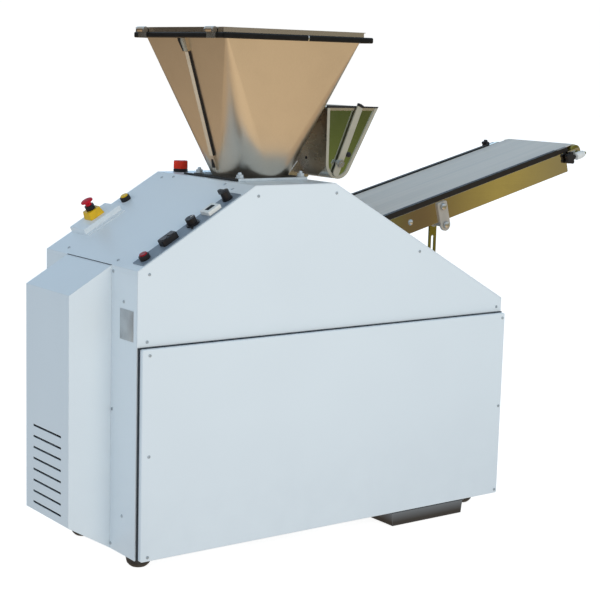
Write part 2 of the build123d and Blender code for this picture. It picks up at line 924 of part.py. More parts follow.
def hopper_rim_trim():
    """Rubber edge trim pushed over the rim flange all round, rounded outside."""
    outer = extrude(RectangleRounded(hopper_rim_length, hopper_rim_depth, trim_corner), amount=trim_height)
    ends = outer.faces().sort_by(Axis.Z)
    outer = fillet(ends[0].edges() + ends[-1].edges(), trim_edge)
    inner = Rectangle(hopper_rim_length - 2 * trim_depth, hopper_rim_depth - 2 * trim_depth)
    trim = Pos(hopper_x, head_y, trim_low) * (outer - extrude(inner, amount=trim_height))
    edge = 2 * trim_cover
    groove = extrude(Rectangle(hopper_rim_length - edge, hopper_rim_depth - edge), amount=hopper_wall)
    return trim - Pos(hopper_x, head_y, hopper_rim_height - hopper_wall) * groove


def hopper_base_flange():
    """Square plate under the outlet."""
    square = RectangleRounded(hopper_base_size, hopper_base_size, hopper_base_plate)
    plate = extrude(square, amount=hopper_base_plate)
    plate = Pos(hopper_x, head_y, roof_height) * plate
    return plate - throat(roof_height, roof_height + hopper_base_plate)


def hopper_bolts():
    """Four hexagon bolts with washers at the corners of the base flange."""
    washer = Pos(0, 0, flange_washer / 2) * Cylinder(flange_bolt_radius * 1.15, flange_washer)
    bolt = washer + Pos(0, 0, flange_washer) * hex_head(flange_bolt_radius, flange_bolt_head)
    reach = hopper_base_size / 2 - flange_bolt_inset
    top = roof_height + hopper_base_plate
    places = [(hopper_x + a * reach, head_y + b * reach) for a in (-1, 1) for b in (-1, 1)]
    return Compound(children=[Pos(x, y, top) * bolt for x, y in places])


def hinge_centres():
    """Middle of each lid hinge along y."""
    return (rim_front + hinge_inset, rim_back - hinge_inset)


def lid_hinges():
    """Fixed half of each hinge: a leaf on the rim trim, two lugs and the pin between them."""
    hinges = []
    half = hinge_barrel / 2 + soft_gap
    r = hinge_barrel_radius
    for y in hinge_centres():
        reach = half + hinge_lug
        hinge = round_y(hinge_x, hinge_z, y - reach, y + reach, hinge_pin_radius)
        leaf_x = rim_left - hinge_leaf
        hinge += block(leaf_x, rim_left, y - reach, y + reach, trim_low, trim_top - soft_gap)
        for y0 in (y - reach, y + half):
            y1 = y0 + hinge_lug
            hinge += block(leaf_x, rim_left, y0, y1, trim_low, hinge_z)
            hinge += block(hinge_x - r, hinge_x + r, y0, y1, trim_top, hinge_z)
            hinge += round_y(hinge_x, hinge_z, y0, y1, r)
        hinges.append(hinge)
    return Compound(children=hinges)


def hopper_lid():
    """Folded sheet lid on the rim trim, with a lip at its far end and a barrel at each hinge."""
    low = trim_top
    high = low + lid_skirt
    x1 = rim_right - lid_far_inset
    y0 = rim_front + lid_side_inset
    y1 = rim_back - lid_side_inset
    lid = block(lid_left, x1, y0, y1, low, high)
    t = hopper_wall
    lid -= block(lid_left + t, x1 - t, y0 + t, y1 - t, low, high - t)
    lid += block(x1 - t, x1 + lid_lip, y0, y1, high - t, high)
    for y in hinge_centres():
        half = hinge_barrel / 2
        lid += round_y(hinge_x, hinge_z, y - half, y + half, hinge_barrel_radius)
        lid += block(hinge_x, lid_left + t, y - half, y + half, hinge_z, hinge_z + t)
        lid -= round_y(hinge_x, hinge_z, y - half, y + half, hinge_pin_radius + shaft_gap)
    return lid


# Dividing head

def dough_chamber():
    """Casting under the throat: ram bore, knife slot, round seat and bearing ears for the drum."""
    left = hopper_x - casting_left
    right = hopper_x + casting_right
    y0 = head_y - casting_half
    y1 = head_y + casting_half
    body = block(left, right, y0, y1, head_base, roof_height - sheet)
    ear_gap = drum_length / 2 + slide_gap
    ear = Pos(drum_x, chamber_z) * Circle(ear_radius)
    ear += outline((right, chamber_z - ear_radius), (drum_x, chamber_z - ear_radius),
                   (drum_x, chamber_z + ear_radius), (right, chamber_z + ear_radius))
    body += across(ear, y0, head_y - ear_gap)
    body += across(ear, head_y + ear_gap, y1)
    body -= round_y(drum_x, chamber_z, head_y - ear_gap, head_y + ear_gap, drum_radius + slide_gap)
    body -= round_y(drum_x, chamber_z, y0, y1, drum_journal_radius + shaft_gap)
    body -= block(left, drum_x, head_y - bore_half_width, head_y + bore_half_width, bore_low, bore_high)
    knife_half = bore_half_width + knife_ledge
    knife_roof = knife_low + knife_thickness + soft_gap
    knife_end = hopper_x + throat_size / 2
    body -= block(left, knife_end, head_y - knife_half, head_y + knife_half, bore_high, knife_roof)
    body -= throat(bore_high, roof_height)
    notch_half = rocker_thickness / 2 + pin_gap + clevis_cheek + 10 * slide_gap
    body -= block(left, left + casting_notch, head_y - notch_half, head_y + notch_half, head_base, bore_low)
    return body


def ram():
    """Plunger that presses the dough into the drum, with a clevis and wrist pin at its back."""
    half = ram_width / 2
    body = block(ram_back, ram_face, head_y - half, head_y + half, chamber_z - ram_height / 2,
                 chamber_z + ram_height / 2)
    inside = rocker_thickness / 2 + pin_gap
    outside = inside + clevis_cheek
    low = wrist_z - clevis_height / 3
    for y0, y1 in ((head_y - outside, head_y - inside), (head_y + inside, head_y + outside)):
        body += block(ram_back - clevis_length, ram_back, y0, y1, low, low + clevis_height)
    return body + round_y(wrist_x, wrist_z, head_y - outside, head_y + outside, wrist_radius)


def knife():
    """Flat cut-off knife above the ram, bevelled along its front edge."""
    edge = hopper_x - knife_back_of_centre
    top = knife_low + knife_thickness
    back = edge - knife_length
    face = outline((back, knife_low), (edge, knife_low), (edge - knife_bevel, top), (back, top))
    half = bore_half_width + knife_ledge - slide_gap
    return across(face, head_y - half, head_y + half)


def measuring_drum():
    """Turning drum with a round pocket, journals in the casting and a lever outside the front ear."""
    half = drum_length / 2
    drum = round_y(drum_x, chamber_z, head_y - half, head_y + half, drum_radius)
    mouth = drum_x - drum_radius
    drum -= round_x(head_y, chamber_z, mouth, mouth + pocket_depth, pocket_radius)
    lever_front = head_y - casting_half - slide_gap - drum_lever_thickness
    drum += round_y(drum_x, chamber_z, lever_front, head_y - half, drum_journal_radius)
    drum += round_y(drum_x, chamber_z, head_y + half, head_y + casting_half, drum_journal_radius)
    eye = drum_journal_radius + drum_lever_thickness
    tip = drum_lever_thickness
    lever = make_hull([
        *(Pos(drum_x, chamber_z) * Circle(eye)).edges(),
        *(Pos(drum_x, chamber_z - drum_lever_length) * Circle(tip)).edges(),
    ])
    lever -= Pos(drum_x, chamber_z - drum_lever_length) * Circle(tip / 2)
    return drum + across(lever, lever_front, lever_front + drum_lever_thickness)


def measuring_piston():
    """Piston that slides in the drum's pocket."""
    floor_x = drum_x - drum_radius + pocket_depth
    back = floor_x - soft_gap
    return round_x(head_y, chamber_z, back - piston_length, back, pocket_radius - soft_gap)


# Drive

def arm_face(reach, root_half, tip_half, past):
    """Tapered lever outline standing up from the pivot."""
    return outline((-root_half, 0), (root_half, 0), (tip_half, reach + past), (-tip_half, reach + past))


def rocker():
    """Torque shaft with a forked arm that works the ram and a short arm that the crank drives."""
    top_past = wrist_radius + clevis_cheek
    y0 = head_y - rocker_thickness / 2
    y1 = head_y + rocker_thickness / 2
    lever = across(arm_face(rocker_reach, rocker_root_half, rocker_tip_half, top_past), y0, y1)
    fork = rocker_fork / 2 + pin_gap
    lever -= block(-fork, fork, y0, y1, rocker_reach - rocker_fork_bottom, rocker_reach + top_past)
    lever += round_y(0, 0, y0 - slide_gap * 10, y1 + slide_gap * 10, rocker_hub_radius)
    short_half = rocker_tip_half - clevis_cheek / 2
    short_arm = arm_face(drive_arm_reach, rocker_root_half, short_half, 0)
    lever += across(short_arm, drive_arm_front, drive_arm_back)
    lever += round_y(0, drive_arm_reach, drive_arm_front, drive_arm_back, short_half)
    lever += round_y(0, drive_arm_reach, drive_arm_back, rod_front - 2 * slide_gap, wrist_radius)
    lever += round_y(0, 0, drive_arm_front, drive_arm_back, rocker_hub_radius)
    lever += round_y(0, 0, pedestal_front, pedestal_back + pedestal_thickness, rocker_shaft_radius)
    return Pos(rocker_x, 0, rocker_z) * Rot(0, -rocker_lean, 0) * lever


def crank():
    """Crank disc on the gearbox's output shaft, with the crank pin at its front."""
    shaft_end = gearbox_front + crank_shaft_depth
    body = round_y(crank_x, crank_z, disc_front, disc_back, crank_disc_radius)
    body += round_y(crank_x, crank_z, disc_back, shaft_end, crank_shaft_radius)
    return body + round_y(crank_x - crank_radius, crank_z, rod_front, disc_front, wrist_radius)


def connecting_rod():
    """Rod from the crank pin to the rocker's short arm."""
    big_x = crank_x - crank_radius
    small_x = big_x + rod_length
    shape = Pos(big_x, crank_z) * Circle(rod_eye_radius)
    shape += Pos(small_x, crank_z) * Circle(rod_eye_radius)
    half = rod_shank / 2
    low = crank_z - half
    high = crank_z + half
    shape += outline((big_x, low), (small_x, low), (small_x, high), (big_x, high))
    shape -= Pos(big_x, crank_z) * Circle(wrist_radius + shaft_gap)
    shape -= Pos(small_x, crank_z) * Circle(wrist_radius + shaft_gap)
    return across(shape, rod_front, rod_back)


def gearbox():
    """Worm gearbox housing with bosses round the output and input bores."""
    right = gearbox_left + gearbox_length
    top = crank_z + gearbox_above_crank
    back = gearbox_front + gearbox_width
    body = block(gearbox_left, right, gearbox_front, back, gearbox_base, top)
    body = fillet(body.edges().filter_by(Axis.Y), gearbox_round)
    body += round_y(crank_x, crank_z, gearbox_front - gearbox_boss, gearbox_front, gearbox_boss_radius)
    body += round_x(cover_y, worm_z, gearbox_left - gearbox_boss, gearbox_left, gearbox_boss_radius)
    shaft_end = gearbox_front + crank_shaft_depth + slide_gap
    body -= round_y(crank_x, crank_z, gearbox_front - gearbox_boss, shaft_end, crank_shaft_radius + shaft_gap)
    input_end = gearbox_left + input_shaft_depth
    bore_radius = input_shaft_radius + shaft_gap
    return body - round_x(cover_y, worm_z, gearbox_left - gearbox_boss, input_end, bore_radius)


def main_motor():
    """Foot-mounted motor: finned body, end bell, fan cowl, feet and terminal box."""
    bell_end = motor_left + motor_bell
    body_end = bell_end + motor_length
    core = motor_radius - motor_fin
    body = round_x(cover_y, motor_z, bell_end, body_end, core)
    fin = Pos((bell_end + body_end) / 2, 0, core) * Box(motor_length, motor_fin / 2, 2 * motor_fin)
    for i in range(motor_fin_count):
        body += Pos(0, cover_y, motor_z) * Rot(i * 360 / motor_fin_count, 0, 0) * fin
    bell = round_x(cover_y, motor_z, motor_left, bell_end, motor_radius)
    body += chamfer(bell.edges().sort_by(Axis.X)[0], motor_fin)
    cowl = round_x(cover_y, motor_z, body_end, body_end + motor_cowl, motor_radius)
    body += fillet(cowl.edges().sort_by(Axis.X)[-1], motor_fin)
    foot_x = bell_end + (motor_length - motor_foot_length) / 2
    foot_end = foot_x + motor_foot_length
    half = motor_foot_width / 2
    body += block(foot_x, foot_end, cover_y - half, cover_y + half, frame_top, frame_top + motor_fin * 2)
    body += block(foot_x, foot_end, cover_y - half / 2, cover_y + half / 2, frame_top, motor_z)
    box_top = motor_z + motor_radius + motor_box_height
    half = motor_box / 2
    body += block(foot_x, foot_x + motor_box, cover_y - half, cover_y + half, motor_z, box_top)
    bore_end = motor_left + input_shaft_depth
    return body - round_x(cover_y, motor_z, motor_left, bore_end, input_shaft_radius + shaft_gap)


def groove_centres():
    """Middle of each belt along x."""
    middle = pulley_face - pulley_width / 2
    return (middle - groove_pitch / 2, middle + groove_pitch / 2)


def pulley(radius, z, shaft_end):
    """Two-groove pulley with its shaft, about an axis along x."""
    left = pulley_face - pulley_width
    wheel = round_x(cover_y, z, left, pulley_face, radius)
    half = belt_top / 2 + soft_gap
    low = radius - belt_depth - soft_gap - slide_gap
    foot = half - belt_side_slant
    for x in groove_centres():
        notch = outline((x - half, radius), (x - foot, low), (x + foot, low), (x + half, radius))
        wheel -= Pos(0, cover_y, z) * revolve(notch, Axis.X)
    return wheel + round_x(cover_y, z, left, shaft_end, input_shaft_radius)


def motor_pulley():
    """Small pulley on the motor shaft."""
    return pulley(small_pulley_radius, motor_z, motor_left + input_shaft_depth - slide_gap)


def gearbox_pulley():
    """Large pulley on the gearbox's input shaft."""
    return pulley(large_pulley_radius, worm_z, gearbox_left + input_shaft_depth - slide_gap)


def belt_loop(shrink):
    """Outline of the belt run round both pulleys, drawn about the motor shaft."""
    small = Circle(small_pulley_radius - shrink)
    large = Pos(0, worm_z - motor_z) * Circle(large_pulley_radius - shrink)
    return make_hull([*small.edges(), *large.edges()])


def drive_belts():
    """Two V-belts, narrower towards the inside of the loop."""
    belts = []
    outer = belt_loop(soft_gap)
    inner = belt_loop(soft_gap + belt_depth)
    for x in groove_centres():
        x0 = x - belt_top / 2
        belt = on_pulleys(x0) * extrude(outer - inner, amount=belt_top)
        left_side = loft([on_pulleys(x0) * outer, on_pulleys(x0 + belt_side_slant) * inner], ruled=True)
        x1 = x + belt_top / 2
        right_side = loft([on_pulleys(x1) * outer, on_pulleys(x1 - belt_side_slant) * inner], ruled=True)
        belts.append(belt - left_side - right_side)
    return Compound(children=belts)


def on_pulleys(x):
    """Placement square to the pulley shafts at x, centred on the motor shaft."""
    return Plane(origin=(x, cover_y, motor_z), x_dir=(0, 1, 0), z_dir=(1, 0, 0)).location


# Flour duster

def duster_face(grow, top):
    """Trough outline: upright left wall, round bottom, slanted right wall."""
    r = duster_round + grow
    slant = math.radians(duster_slant)
    wall_x = duster_x + r * math.cos(slant)
    wall_z = duster_z - r * math.sin(slant)
    right_x = wall_x + (top - wall_z) * math.tan(slant)
    left_x = duster_x - r
    with BuildSketch() as face:
        with BuildLine():
            Line((left_x, top), (left_x, duster_z))
            bottom = CenterArc((duster_x, duster_z), r, 180, 180 - duster_slant)
            Line(bottom @ 1, (right_x, top))
            Line((right_x, top), (left_x, top))
        make_face()
    return face.sketch


def duster_trough():
    """Sheet trough with rims turned in at its ends, a flour slot, a skirt on its left and two gussets."""
    y0 = duster_front + duster_rim_sheet
    y1 = duster_back - duster_rim_sheet
    trough = across(duster_face(0, duster_top), duster_front, duster_back)
    foot_x = right_slope_x + duster_wall * 4
    toe_x = foot_x + duster_round - duster_wall
    left_x = duster_x - duster_round
    gusset = outline(
        (foot_x, right_roof_z(foot_x)),
        (toe_x, right_roof_z(toe_x)),
        (duster_x, duster_z - duster_round + duster_wall / 2),
        (left_x + duster_wall / 2, duster_z),
    )
    for y in (duster_front + gusset_from_front, duster_back - gusset_from_back - gusset_thickness):
        trough += across(gusset, y, y + gusset_thickness)
    trough += duster_skirt_plate(left_x)
    trough -= across(duster_face(-duster_wall, duster_top + duster_wall), y0, y1)
    trough -= across(duster_face(-duster_rim, duster_top - duster_rim), duster_front, duster_back)
    half = duster_slot / 2
    low = duster_z - duster_round - duster_wall
    slot_front = y0 + duster_slot_margin
    slot_back = y1 - duster_slot_margin
    return trough - block(duster_x - half, duster_x + half, slot_front, slot_back, low, duster_z)


def duster_skirt_plate(left_x):
    """Flat sheet that carries the left wall on down past the round bottom, its front corner cut off."""
    low = duster_z - duster_skirt
    face = outline(
        (duster_front, duster_z),
        (duster_front, low + skirt_cut_height),
        (duster_front + skirt_cut_length, low),
        (duster_back, low),
        (duster_back, duster_z),
    )
    return extrude(Plane.YZ.offset(left_x) * face, amount=duster_wall)


def duster_end_plates():
    """End plates behind the trough's rims; the front one carries the lever's stop."""
    plates = []
    face = duster_face(-duster_wall - duster_end_gap, duster_top)
    front = duster_front + duster_rim_sheet
    for y in (front, duster_back - duster_rim_sheet - duster_end):
        plate = across(face, y, y + duster_end)
        plates.append(plate - round_y(duster_x, duster_z, y, y + duster_end, agitator_shaft + shaft_gap))
    stop = round_y(duster_x + lever_stop_across, duster_z + lever_stop_up, duster_front - lever_stop_length,
                   front, lever_stop_radius)
    return Compound(children=[plates[0] + stop, plates[1]])


def lever_back():
    """Back face of the duster lever along y."""
    return duster_front - soft_gap - lever_washer


def duster_agitator():
    """Shaft with four vanes in the trough, a shoulder behind the lever and a nut in front of it."""
    inset = duster_rim_sheet + duster_end + agitator_end_gap
    y0 = duster_front + inset
    y1 = duster_back - inset
    lever_front = lever_back() - lever_thickness
    shaft = round_y(duster_x, duster_z, lever_front - lever_nut, duster_back, agitator_shaft)
    shaft += round_y(duster_x, duster_z, y0, y1, agitator_hub)
    half = agitator_vane / 2
    for turn in (45, -45):
        vane = block(-agitator_radius, agitator_radius, y0, y1, -half, half)
        shaft += Pos(duster_x, 0, duster_z) * Rot(0, turn, 0) * vane
    shaft += round_y(duster_x, duster_z, lever_back(), duster_front - soft_gap, lever_washer_radius)
    nut = extrude(RegularPolygon(lever_nut_radius + agitator_shaft / 2, 6), amount=lever_nut)
    return shaft + Pos(duster_x, lever_front, duster_z) * Rot(90, 0, 0) * nut


def duster_lever():
    """Flat bar lever with rounded ends."""
    middle = (lever_up - lever_down) / 2
    lean = math.radians(lever_lean)
    centre = Pos(duster_x + middle * math.sin(lean), duster_z + middle * math.cos(lean))
    face = centre * Rot(0, 0, 90 - lever_lean) * SlotOverall(lever_up + lever_down, lever_width)
    face -= Pos(duster_x, duster_z) * Circle(agitator_shaft + shaft_gap)
    return across(face, lever_back() - lever_thickness, lever_back())


# Outfeed conveyor, drawn level and then tilted into place

def tilted(shape):
    """Moves a shape from the conveyor's own frame into the machine."""
    return conveyor_frame_plane.location * shape


def conveyor_frame():
    """Side plates, slider bed on spacers, and the tilt pins at the lower end."""
    near = conveyor_side(conveyor_front, conveyor_front)
    far = conveyor_side(conveyor_back - side_plate, conveyor_back - guide_width)
    frame = near + far
    bed_top = -belt_thickness - soft_gap
    y0 = conveyor_front + guide_width + slide_gap
    y1 = conveyor_back - guide_width - slide_gap
    bed_end = conveyor_centres - bed_end_gap
    frame += block(bed_end_gap, bed_end, y0, y1, bed_top - bed_thickness, bed_top)
    for y in (y0, y1 - side_plate):
        frame += block(bed_end_gap, bed_end, y, y + side_plate, -bed_skirt, bed_top)
    pitch = (bed_end - bed_end_gap) / spacer_count
    for i in range(spacer_count):
        u = bed_end_gap + (i + 0.5) * pitch
        spacer_front = conveyor_front + side_plate
        frame += round_y(u, -bed_skirt, spacer_front, conveyor_back - side_plate, spacer_radius)
    frame += round_y(0, -tilt_pin_drop, conveyor_front - tilt_pin_length, conveyor_front, tilt_pin_radius)
    frame += round_y(0, -tilt_pin_drop, conveyor_back, conveyor_back + tilt_pin_length, tilt_pin_radius)
    stud_u = conveyor_centres - sleeve_stud_before_roller
    stud_front = conveyor_front - sleeve_stud_length
    return tilted(frame + round_y(stud_u, -sleeve_stud_drop, stud_front, conveyor_front, sleeve_stud_radius))


def conveyor_side(y, flange_y):
    """Side plate with a flange under the guide strip, a block at its end and a tongue for the tip roller."""
    y1 = y + side_plate
    plate = block(-side_plate_lead, conveyor_centres - side_plate_short, y, y1, plate_bottom, plate_top)
    plate = fillet(plate.edges().filter_by(Axis.Y), side_plate)
    tongue_u = (conveyor_centres - 2 * side_plate_short, conveyor_centres + axle_tongue)
    plate += block(*tongue_u, y, y1, plate_top - axle_tongue_height, plate_top)
    clear = roller_radius + 2 * side_plate
    flange = (flange_y, flange_y + guide_width)
    plate += block(clear, conveyor_centres - clear, *flange, plate_top - side_flange, plate_top)
    block_start = guide_end + end_block_gap
    plate += block(block_start, block_start + end_block_length, *flange, plate_top, end_block_top)
    for u in (0, conveyor_centres):
        plate -= round_y(u, -belt_radius, y, y1, roller_axle_radius + shaft_gap)
    return plate


def conveyor_loop(radius):
    """Outline of the belt path at a given radius round both rollers."""
    low = Pos(0, -belt_radius) * Circle(radius)
    high = Pos(conveyor_centres, -belt_radius) * Circle(radius)
    return make_hull([*low.edges(), *high.edges()])


def conveyor_belt():
    """Endless belt round both rollers."""
    face = conveyor_loop(belt_radius) - conveyor_loop(belt_radius - belt_thickness)
    return tilted(across(face, belt_front, belt_back))


def roller(along, y0, y1):
    """Roller with its axle."""
    inset = side_plate + roller_end_gap
    body = round_y(along, -belt_radius, conveyor_front + inset, conveyor_back - inset, roller_radius)
    return tilted(body + round_y(along, -belt_radius, y0, y1, roller_axle_radius))


def drive_roller():
    """Roller at the outfeed tip, its axle running on into the gearmotor."""
    near_end = conveyor_front + 2 * slide_gap
    return roller(conveyor_centres, near_end, conveyor_back + conveyor_motor_radius / 2)


def end_roller():
    """Roller at the lower end."""
    return roller(0, conveyor_front + 2 * slide_gap, conveyor_back - 2 * slide_gap)


def conveyor_gearmotor():
    """Small gearmotor on the far side plate, its motor lying along the plate."""
    y0 = conveyor_back
    y1 = conveyor_back + 2 * conveyor_motor_radius
    u1 = conveyor_centres + axle_tongue / 2
    u0 = u1 - conveyor_motor_length
    case = block(u0, u1, y0, y1, plate_bottom + side_plate, plate_top - side_plate)
    case = fillet(case.edges().filter_by(Axis.Y), side_plate * 2)
    middle = (plate_bottom + plate_top) / 2
    motor_end = u0 - 2 * conveyor_motor_length
    motor = round_x((y0 + y1) / 2, middle, motor_end, u0, side_plate_height / 2 - side_plate)
    case += fillet(motor.edges().sort_by(Axis.X)[0], side_plate * 2)
    bore_end = conveyor_back + conveyor_motor_radius / 2 + slide_gap
    bore = round_y(conveyor_centres, -belt_radius, y0, bore_end, roller_axle_radius + shaft_gap)
    return tilted(case - bore)


def guide_strips():
    """Dark guide strips on top of the side plates, beside the belt."""
    strips = []
    for y in (conveyor_front, conveyor_back - guide_width):
        strip = block(guide_start, guide_end, y, y + guide_width, plate_top, guide_rise)
        strips.append(tilted(chamfer(strip.edges().filter_by(Axis.Y).group_by(Axis.Z)[-1], guide_rise / 2)))
    return Compound(children=strips)


def star_knob(radius, outward):
    """Lobed clamping knob on a plain hub, standing out along y."""
    face = Circle(radius * 0.72)
    lobe = radius * 0.32
    for i in range(knob_lobes):
        face += Rot(0, 0, i * 360 / knob_lobes) * Pos(radius - lobe, 0) * Circle(lobe)
    hub = knob_height * 0.35
    knob = Pos(0, 0, hub) * extrude(face, amount=knob_height - hub)
    knob += Pos(0, 0, hub / 2) * Cylinder(radius * 0.5, hub)
    return Rot(90 if outward < 0 else -90, 0, 0) * knob


def knob_near():
    """Star knob on the near plate, just short of the tip roller."""
    place = Pos(conveyor_centres - near_knob_before_roller, conveyor_front, -near_knob_drop)
    return tilted(place * star_knob(near_knob_radius, -1))


def knob_far():
    """Star knob at the end of the far guide strip."""
    place = Pos(guide_end + far_knob_past_strip, conveyor_back, far_knob_rise)
    return tilted(place * star_knob(far_knob_radius, 1))


def link_bracket():
    """Drop link on the near plate with two bolts and the cross rod that carries the stay."""
    y1 = conveyor_front
    y0 = y1 - link_thickness
    half = link_width / 2
    link = block(link_from_start - half, link_from_start + half, y0, y1, -link_bolt_low, -link_top)
    link = fillet(link.edges().filter_by(Axis.Y).group_by(Axis.Z)[-1], link_thickness)
    link += round_y(link_from_start, -link_bolt_low, y0, y1, half)
    for drop in (link_bolt_top, link_bolt_low):
        link += Pos(link_from_start, y0, -drop) * Rot(90, 0, 0) * hex_head(link_bolt_radius, link_bolt_head)
    rod_end = stay_y + stay_thickness + soft_gap + stay_collar
    link += round_y(link_from_start, -link_bolt_low, y1, rod_end, cross_rod_radius)
    for y in (stay_y - soft_gap - stay_collar, stay_y + stay_thickness + soft_gap):
        link += round_y(link_from_start, -link_bolt_low, y, y + stay_collar, stay_collar_radius)
    return tilted(link)


def stay_bar():
    """Slotted stay that hangs on the cross rod and slides on the stud."""
    half = stay_width / 2
    bar_face = outline((rod_x - half, rod_z - stay_length + half), (rod_x + half, rod_z - stay_length + half),
                       (rod_x + half, rod_z + stay_head - half), (rod_x - half, rod_z + stay_head - half))
    bar_face += Pos(rod_x, rod_z - stay_length + half) * Circle(half)
    bar_face += Pos(rod_x, rod_z + stay_head - half) * Circle(half)
    slot_top = rod_z - stay_slot_start
    slot_low = rod_z - stay_length + stay_slot_end
    slot = Rot(0, 0, 90) * SlotOverall(slot_top - slot_low, stay_slot_width)
    bar_face -= Pos(rod_x, (slot_top + slot_low) / 2) * slot
    bar_face -= Pos(rod_x, rod_z) * Circle(cross_rod_radius + shaft_gap)
    return across(bar_face, stay_y, stay_y + stay_thickness)


def stay_stud():
    """Bracket on the front waist bar with the clamping stud and its nut."""
    half = stay_plate_width / 2
    plate_front = stay_y + stay_thickness + stay_plate_gap
    plate_back = plate_front + stay_plate
    low = waist_top - bar
    rail = frame_front + bar
    bracket = block(rod_x - half, rod_x + half, rail, plate_back, low, low + stay_plate)
    bracket += block(rod_x - half, rod_x + half, plate_front, plate_back, low, stud_z + stay_plate_top)
    stud_end = stay_y - soft_gap - wing_height
    bracket += round_y(rod_x, stud_z, stud_end, plate_front, stud_radius)
    bracket += round_y(rod_x, stud_z, stay_y + stay_thickness + soft_gap, plate_front, wing_radius)
    nut = extrude(RegularPolygon(wing_radius, 6), amount=wing_height)
    return bracket + Pos(rod_x, stay_y - soft_gap, stud_z) * Rot(90, 0, 0) * nut


# Controls

def control_strip():
    """Sheet that carries the operating elements."""
    strip = extrude(RectangleRounded(strip_length, strip_width, 2 * strip_thickness), amount=strip_thickness)
    return on_slope(strip_start + strip_length / 2, strip_y, 0, strip)


def bezel():
    """Round push-button bezel with a guide hole in its floor."""
    ring = Pos(0, 0, bezel_height / 2) * Cylinder(bezel_radius, bezel_height)
    ring = chamfer(ring.edges().group_by(Axis.Z)[-1], bezel_floor / 4)
    return ring - bezel_bore(0, bezel_height)


def bezel_bore(x, height):
    """Space for a button cap and its stem in a bezel of a given height."""
    depth = height - bezel_floor
    bore = Pos(x, 0, bezel_floor + depth / 2) * Cylinder(cap_radius + soft_gap, depth)
    return bore + Pos(x, 0, bezel_floor / 2) * Cylinder(cap_stem_radius + shaft_gap, bezel_floor)


def button_cap(height, rise):
    """Button cap that stands out of a bezel by its rise, with its stem in the bezel's guide hole."""
    low = bezel_floor + cap_travel + soft_gap
    high = height + rise
    cap = Pos(0, 0, (low + high) / 2) * Cylinder(cap_radius, high - low)
    cap = fillet(cap.edges().group_by(Axis.Z)[-1], rise / 3)
    stem_low = bezel_floor - cap_stem_in_floor
    return cap + Pos(0, 0, (stem_low + low) / 2) * Cylinder(cap_stem_radius, low - stem_low)


def twin_bezel():
    """Oblong bezel for the start and stop buttons."""
    shape = extrude(RectangleRounded(twin_length, 2 * bezel_radius, bezel_floor), amount=twin_height)
    shape = chamfer(shape.edges().group_by(Axis.Z)[-1], bezel_floor / 4)
    return shape - bezel_bore(-twin_spread, twin_height) - bezel_bore(twin_spread, twin_height)


def spindle_seat(radius, height):
    """Plain round seat with the hole for a knob's spindle."""
    seat = Pos(0, 0, height / 2) * Cylinder(radius, height)
    return seat - Pos(0, 0, height / 2) * Cylinder(spindle_radius + shaft_gap, height)


def stop_collar():
    """Collar that guides the emergency stop's stem."""
    middle = Pos(0, 0, stop_collar_height / 2)
    collar = middle * Cylinder(stop_collar_radius, stop_collar_height)
    return collar - middle * Cylinder(stop_stem_radius + shaft_gap, stop_collar_height)


def control_bezels():
    """Fixed black parts round the buttons and knobs."""
    top = strip_thickness
    seat = speed_skirt
    collar_up = stop_box_height + stop_housing_height
    return Compound(children=[
        on_slope(red_button_at, strip_y, top, bezel()),
        on_slope(twin_button_at, strip_y, top, twin_bezel()),
        on_slope(speed_knob_at, strip_y, top, spindle_seat(speed_skirt_radius, seat)),
        on_slope(selector_at, strip_y, top, spindle_seat(bezel_radius, seat)),
        on_slope(yellow_at, yellow_y, 0, bezel()),
        on_slope(stop_at, stop_y, collar_up, stop_collar()),
    ])


def red_button():
    """Single push button at the foot of the strip."""
    return on_slope(red_button_at, strip_y, strip_thickness, button_cap(bezel_height, cap_rise))


def stop_button():
    """Lower cap of the twin button."""
    cap = button_cap(twin_height, twin_cap_rise)
    return on_slope(twin_button_at - twin_spread, strip_y, strip_thickness, cap)


def start_button():
    """Upper cap of the twin button."""
    cap = button_cap(twin_height, twin_cap_rise)
    return on_slope(twin_button_at + twin_spread, strip_y, strip_thickness, cap)


def yellow_button():
    """Push button near the back of the slope."""
    return on_slope(yellow_at, yellow_y, 0, button_cap(bezel_height, cap_rise))


def speed_knob():
    """Fluted turning knob on its spindle."""
    middle = speed_skirt + speed_knob_height / 2
    knob = Pos(0, 0, middle) * Cylinder(speed_knob_radius, speed_knob_height)
    flute = Pos(speed_knob_radius, 0, middle) * Cylinder(speed_skirt / 3, speed_knob_height)
    for i in range(speed_knob_grip):
        knob -= Rot(0, 0, i * 360 / speed_knob_grip) * flute
    knob += Pos(0, 0, speed_skirt / 2) * Cylinder(spindle_radius, speed_skirt)
    return on_slope(speed_knob_at, strip_y, strip_thickness, knob)


def selector_knob():
    """Selector knob with a lever standing out of its back."""
    low = speed_skirt
    top = low + selector_height
    knob = Pos(0, 0, (low + top) / 2) * Cylinder(selector_radius, selector_height)
    length = selector_lever_reach + selector_lever_tail
    middle = (selector_lever_reach - selector_lever_tail) / 2
    lever = extrude(SlotOverall(length, selector_lever_width), amount=selector_lever_height)
    lever_low = top + selector_lever_rise - selector_lever_height
    knob += Pos(0, middle, lever_low) * Rot(0, 0, 90) * lever
    knob += Pos(0, 0, low / 2) * Cylinder(spindle_radius, low)
    return on_slope(selector_at, strip_y, strip_thickness, knob)


def counter_unit():
    """Square counter with a sunk window."""
    square = RectangleRounded(counter_size, counter_size, 2 * counter_window_depth)
    case = extrude(square, amount=counter_height)
    case = chamfer(case.edges().group_by(Axis.Z)[-1], counter_window_depth)
    window = Box(counter_window_length, counter_window_width, 2 * counter_window_depth)
    return on_slope(counter_at, strip_y, strip_thickness, case - Pos(0, 0, counter_height) * window)


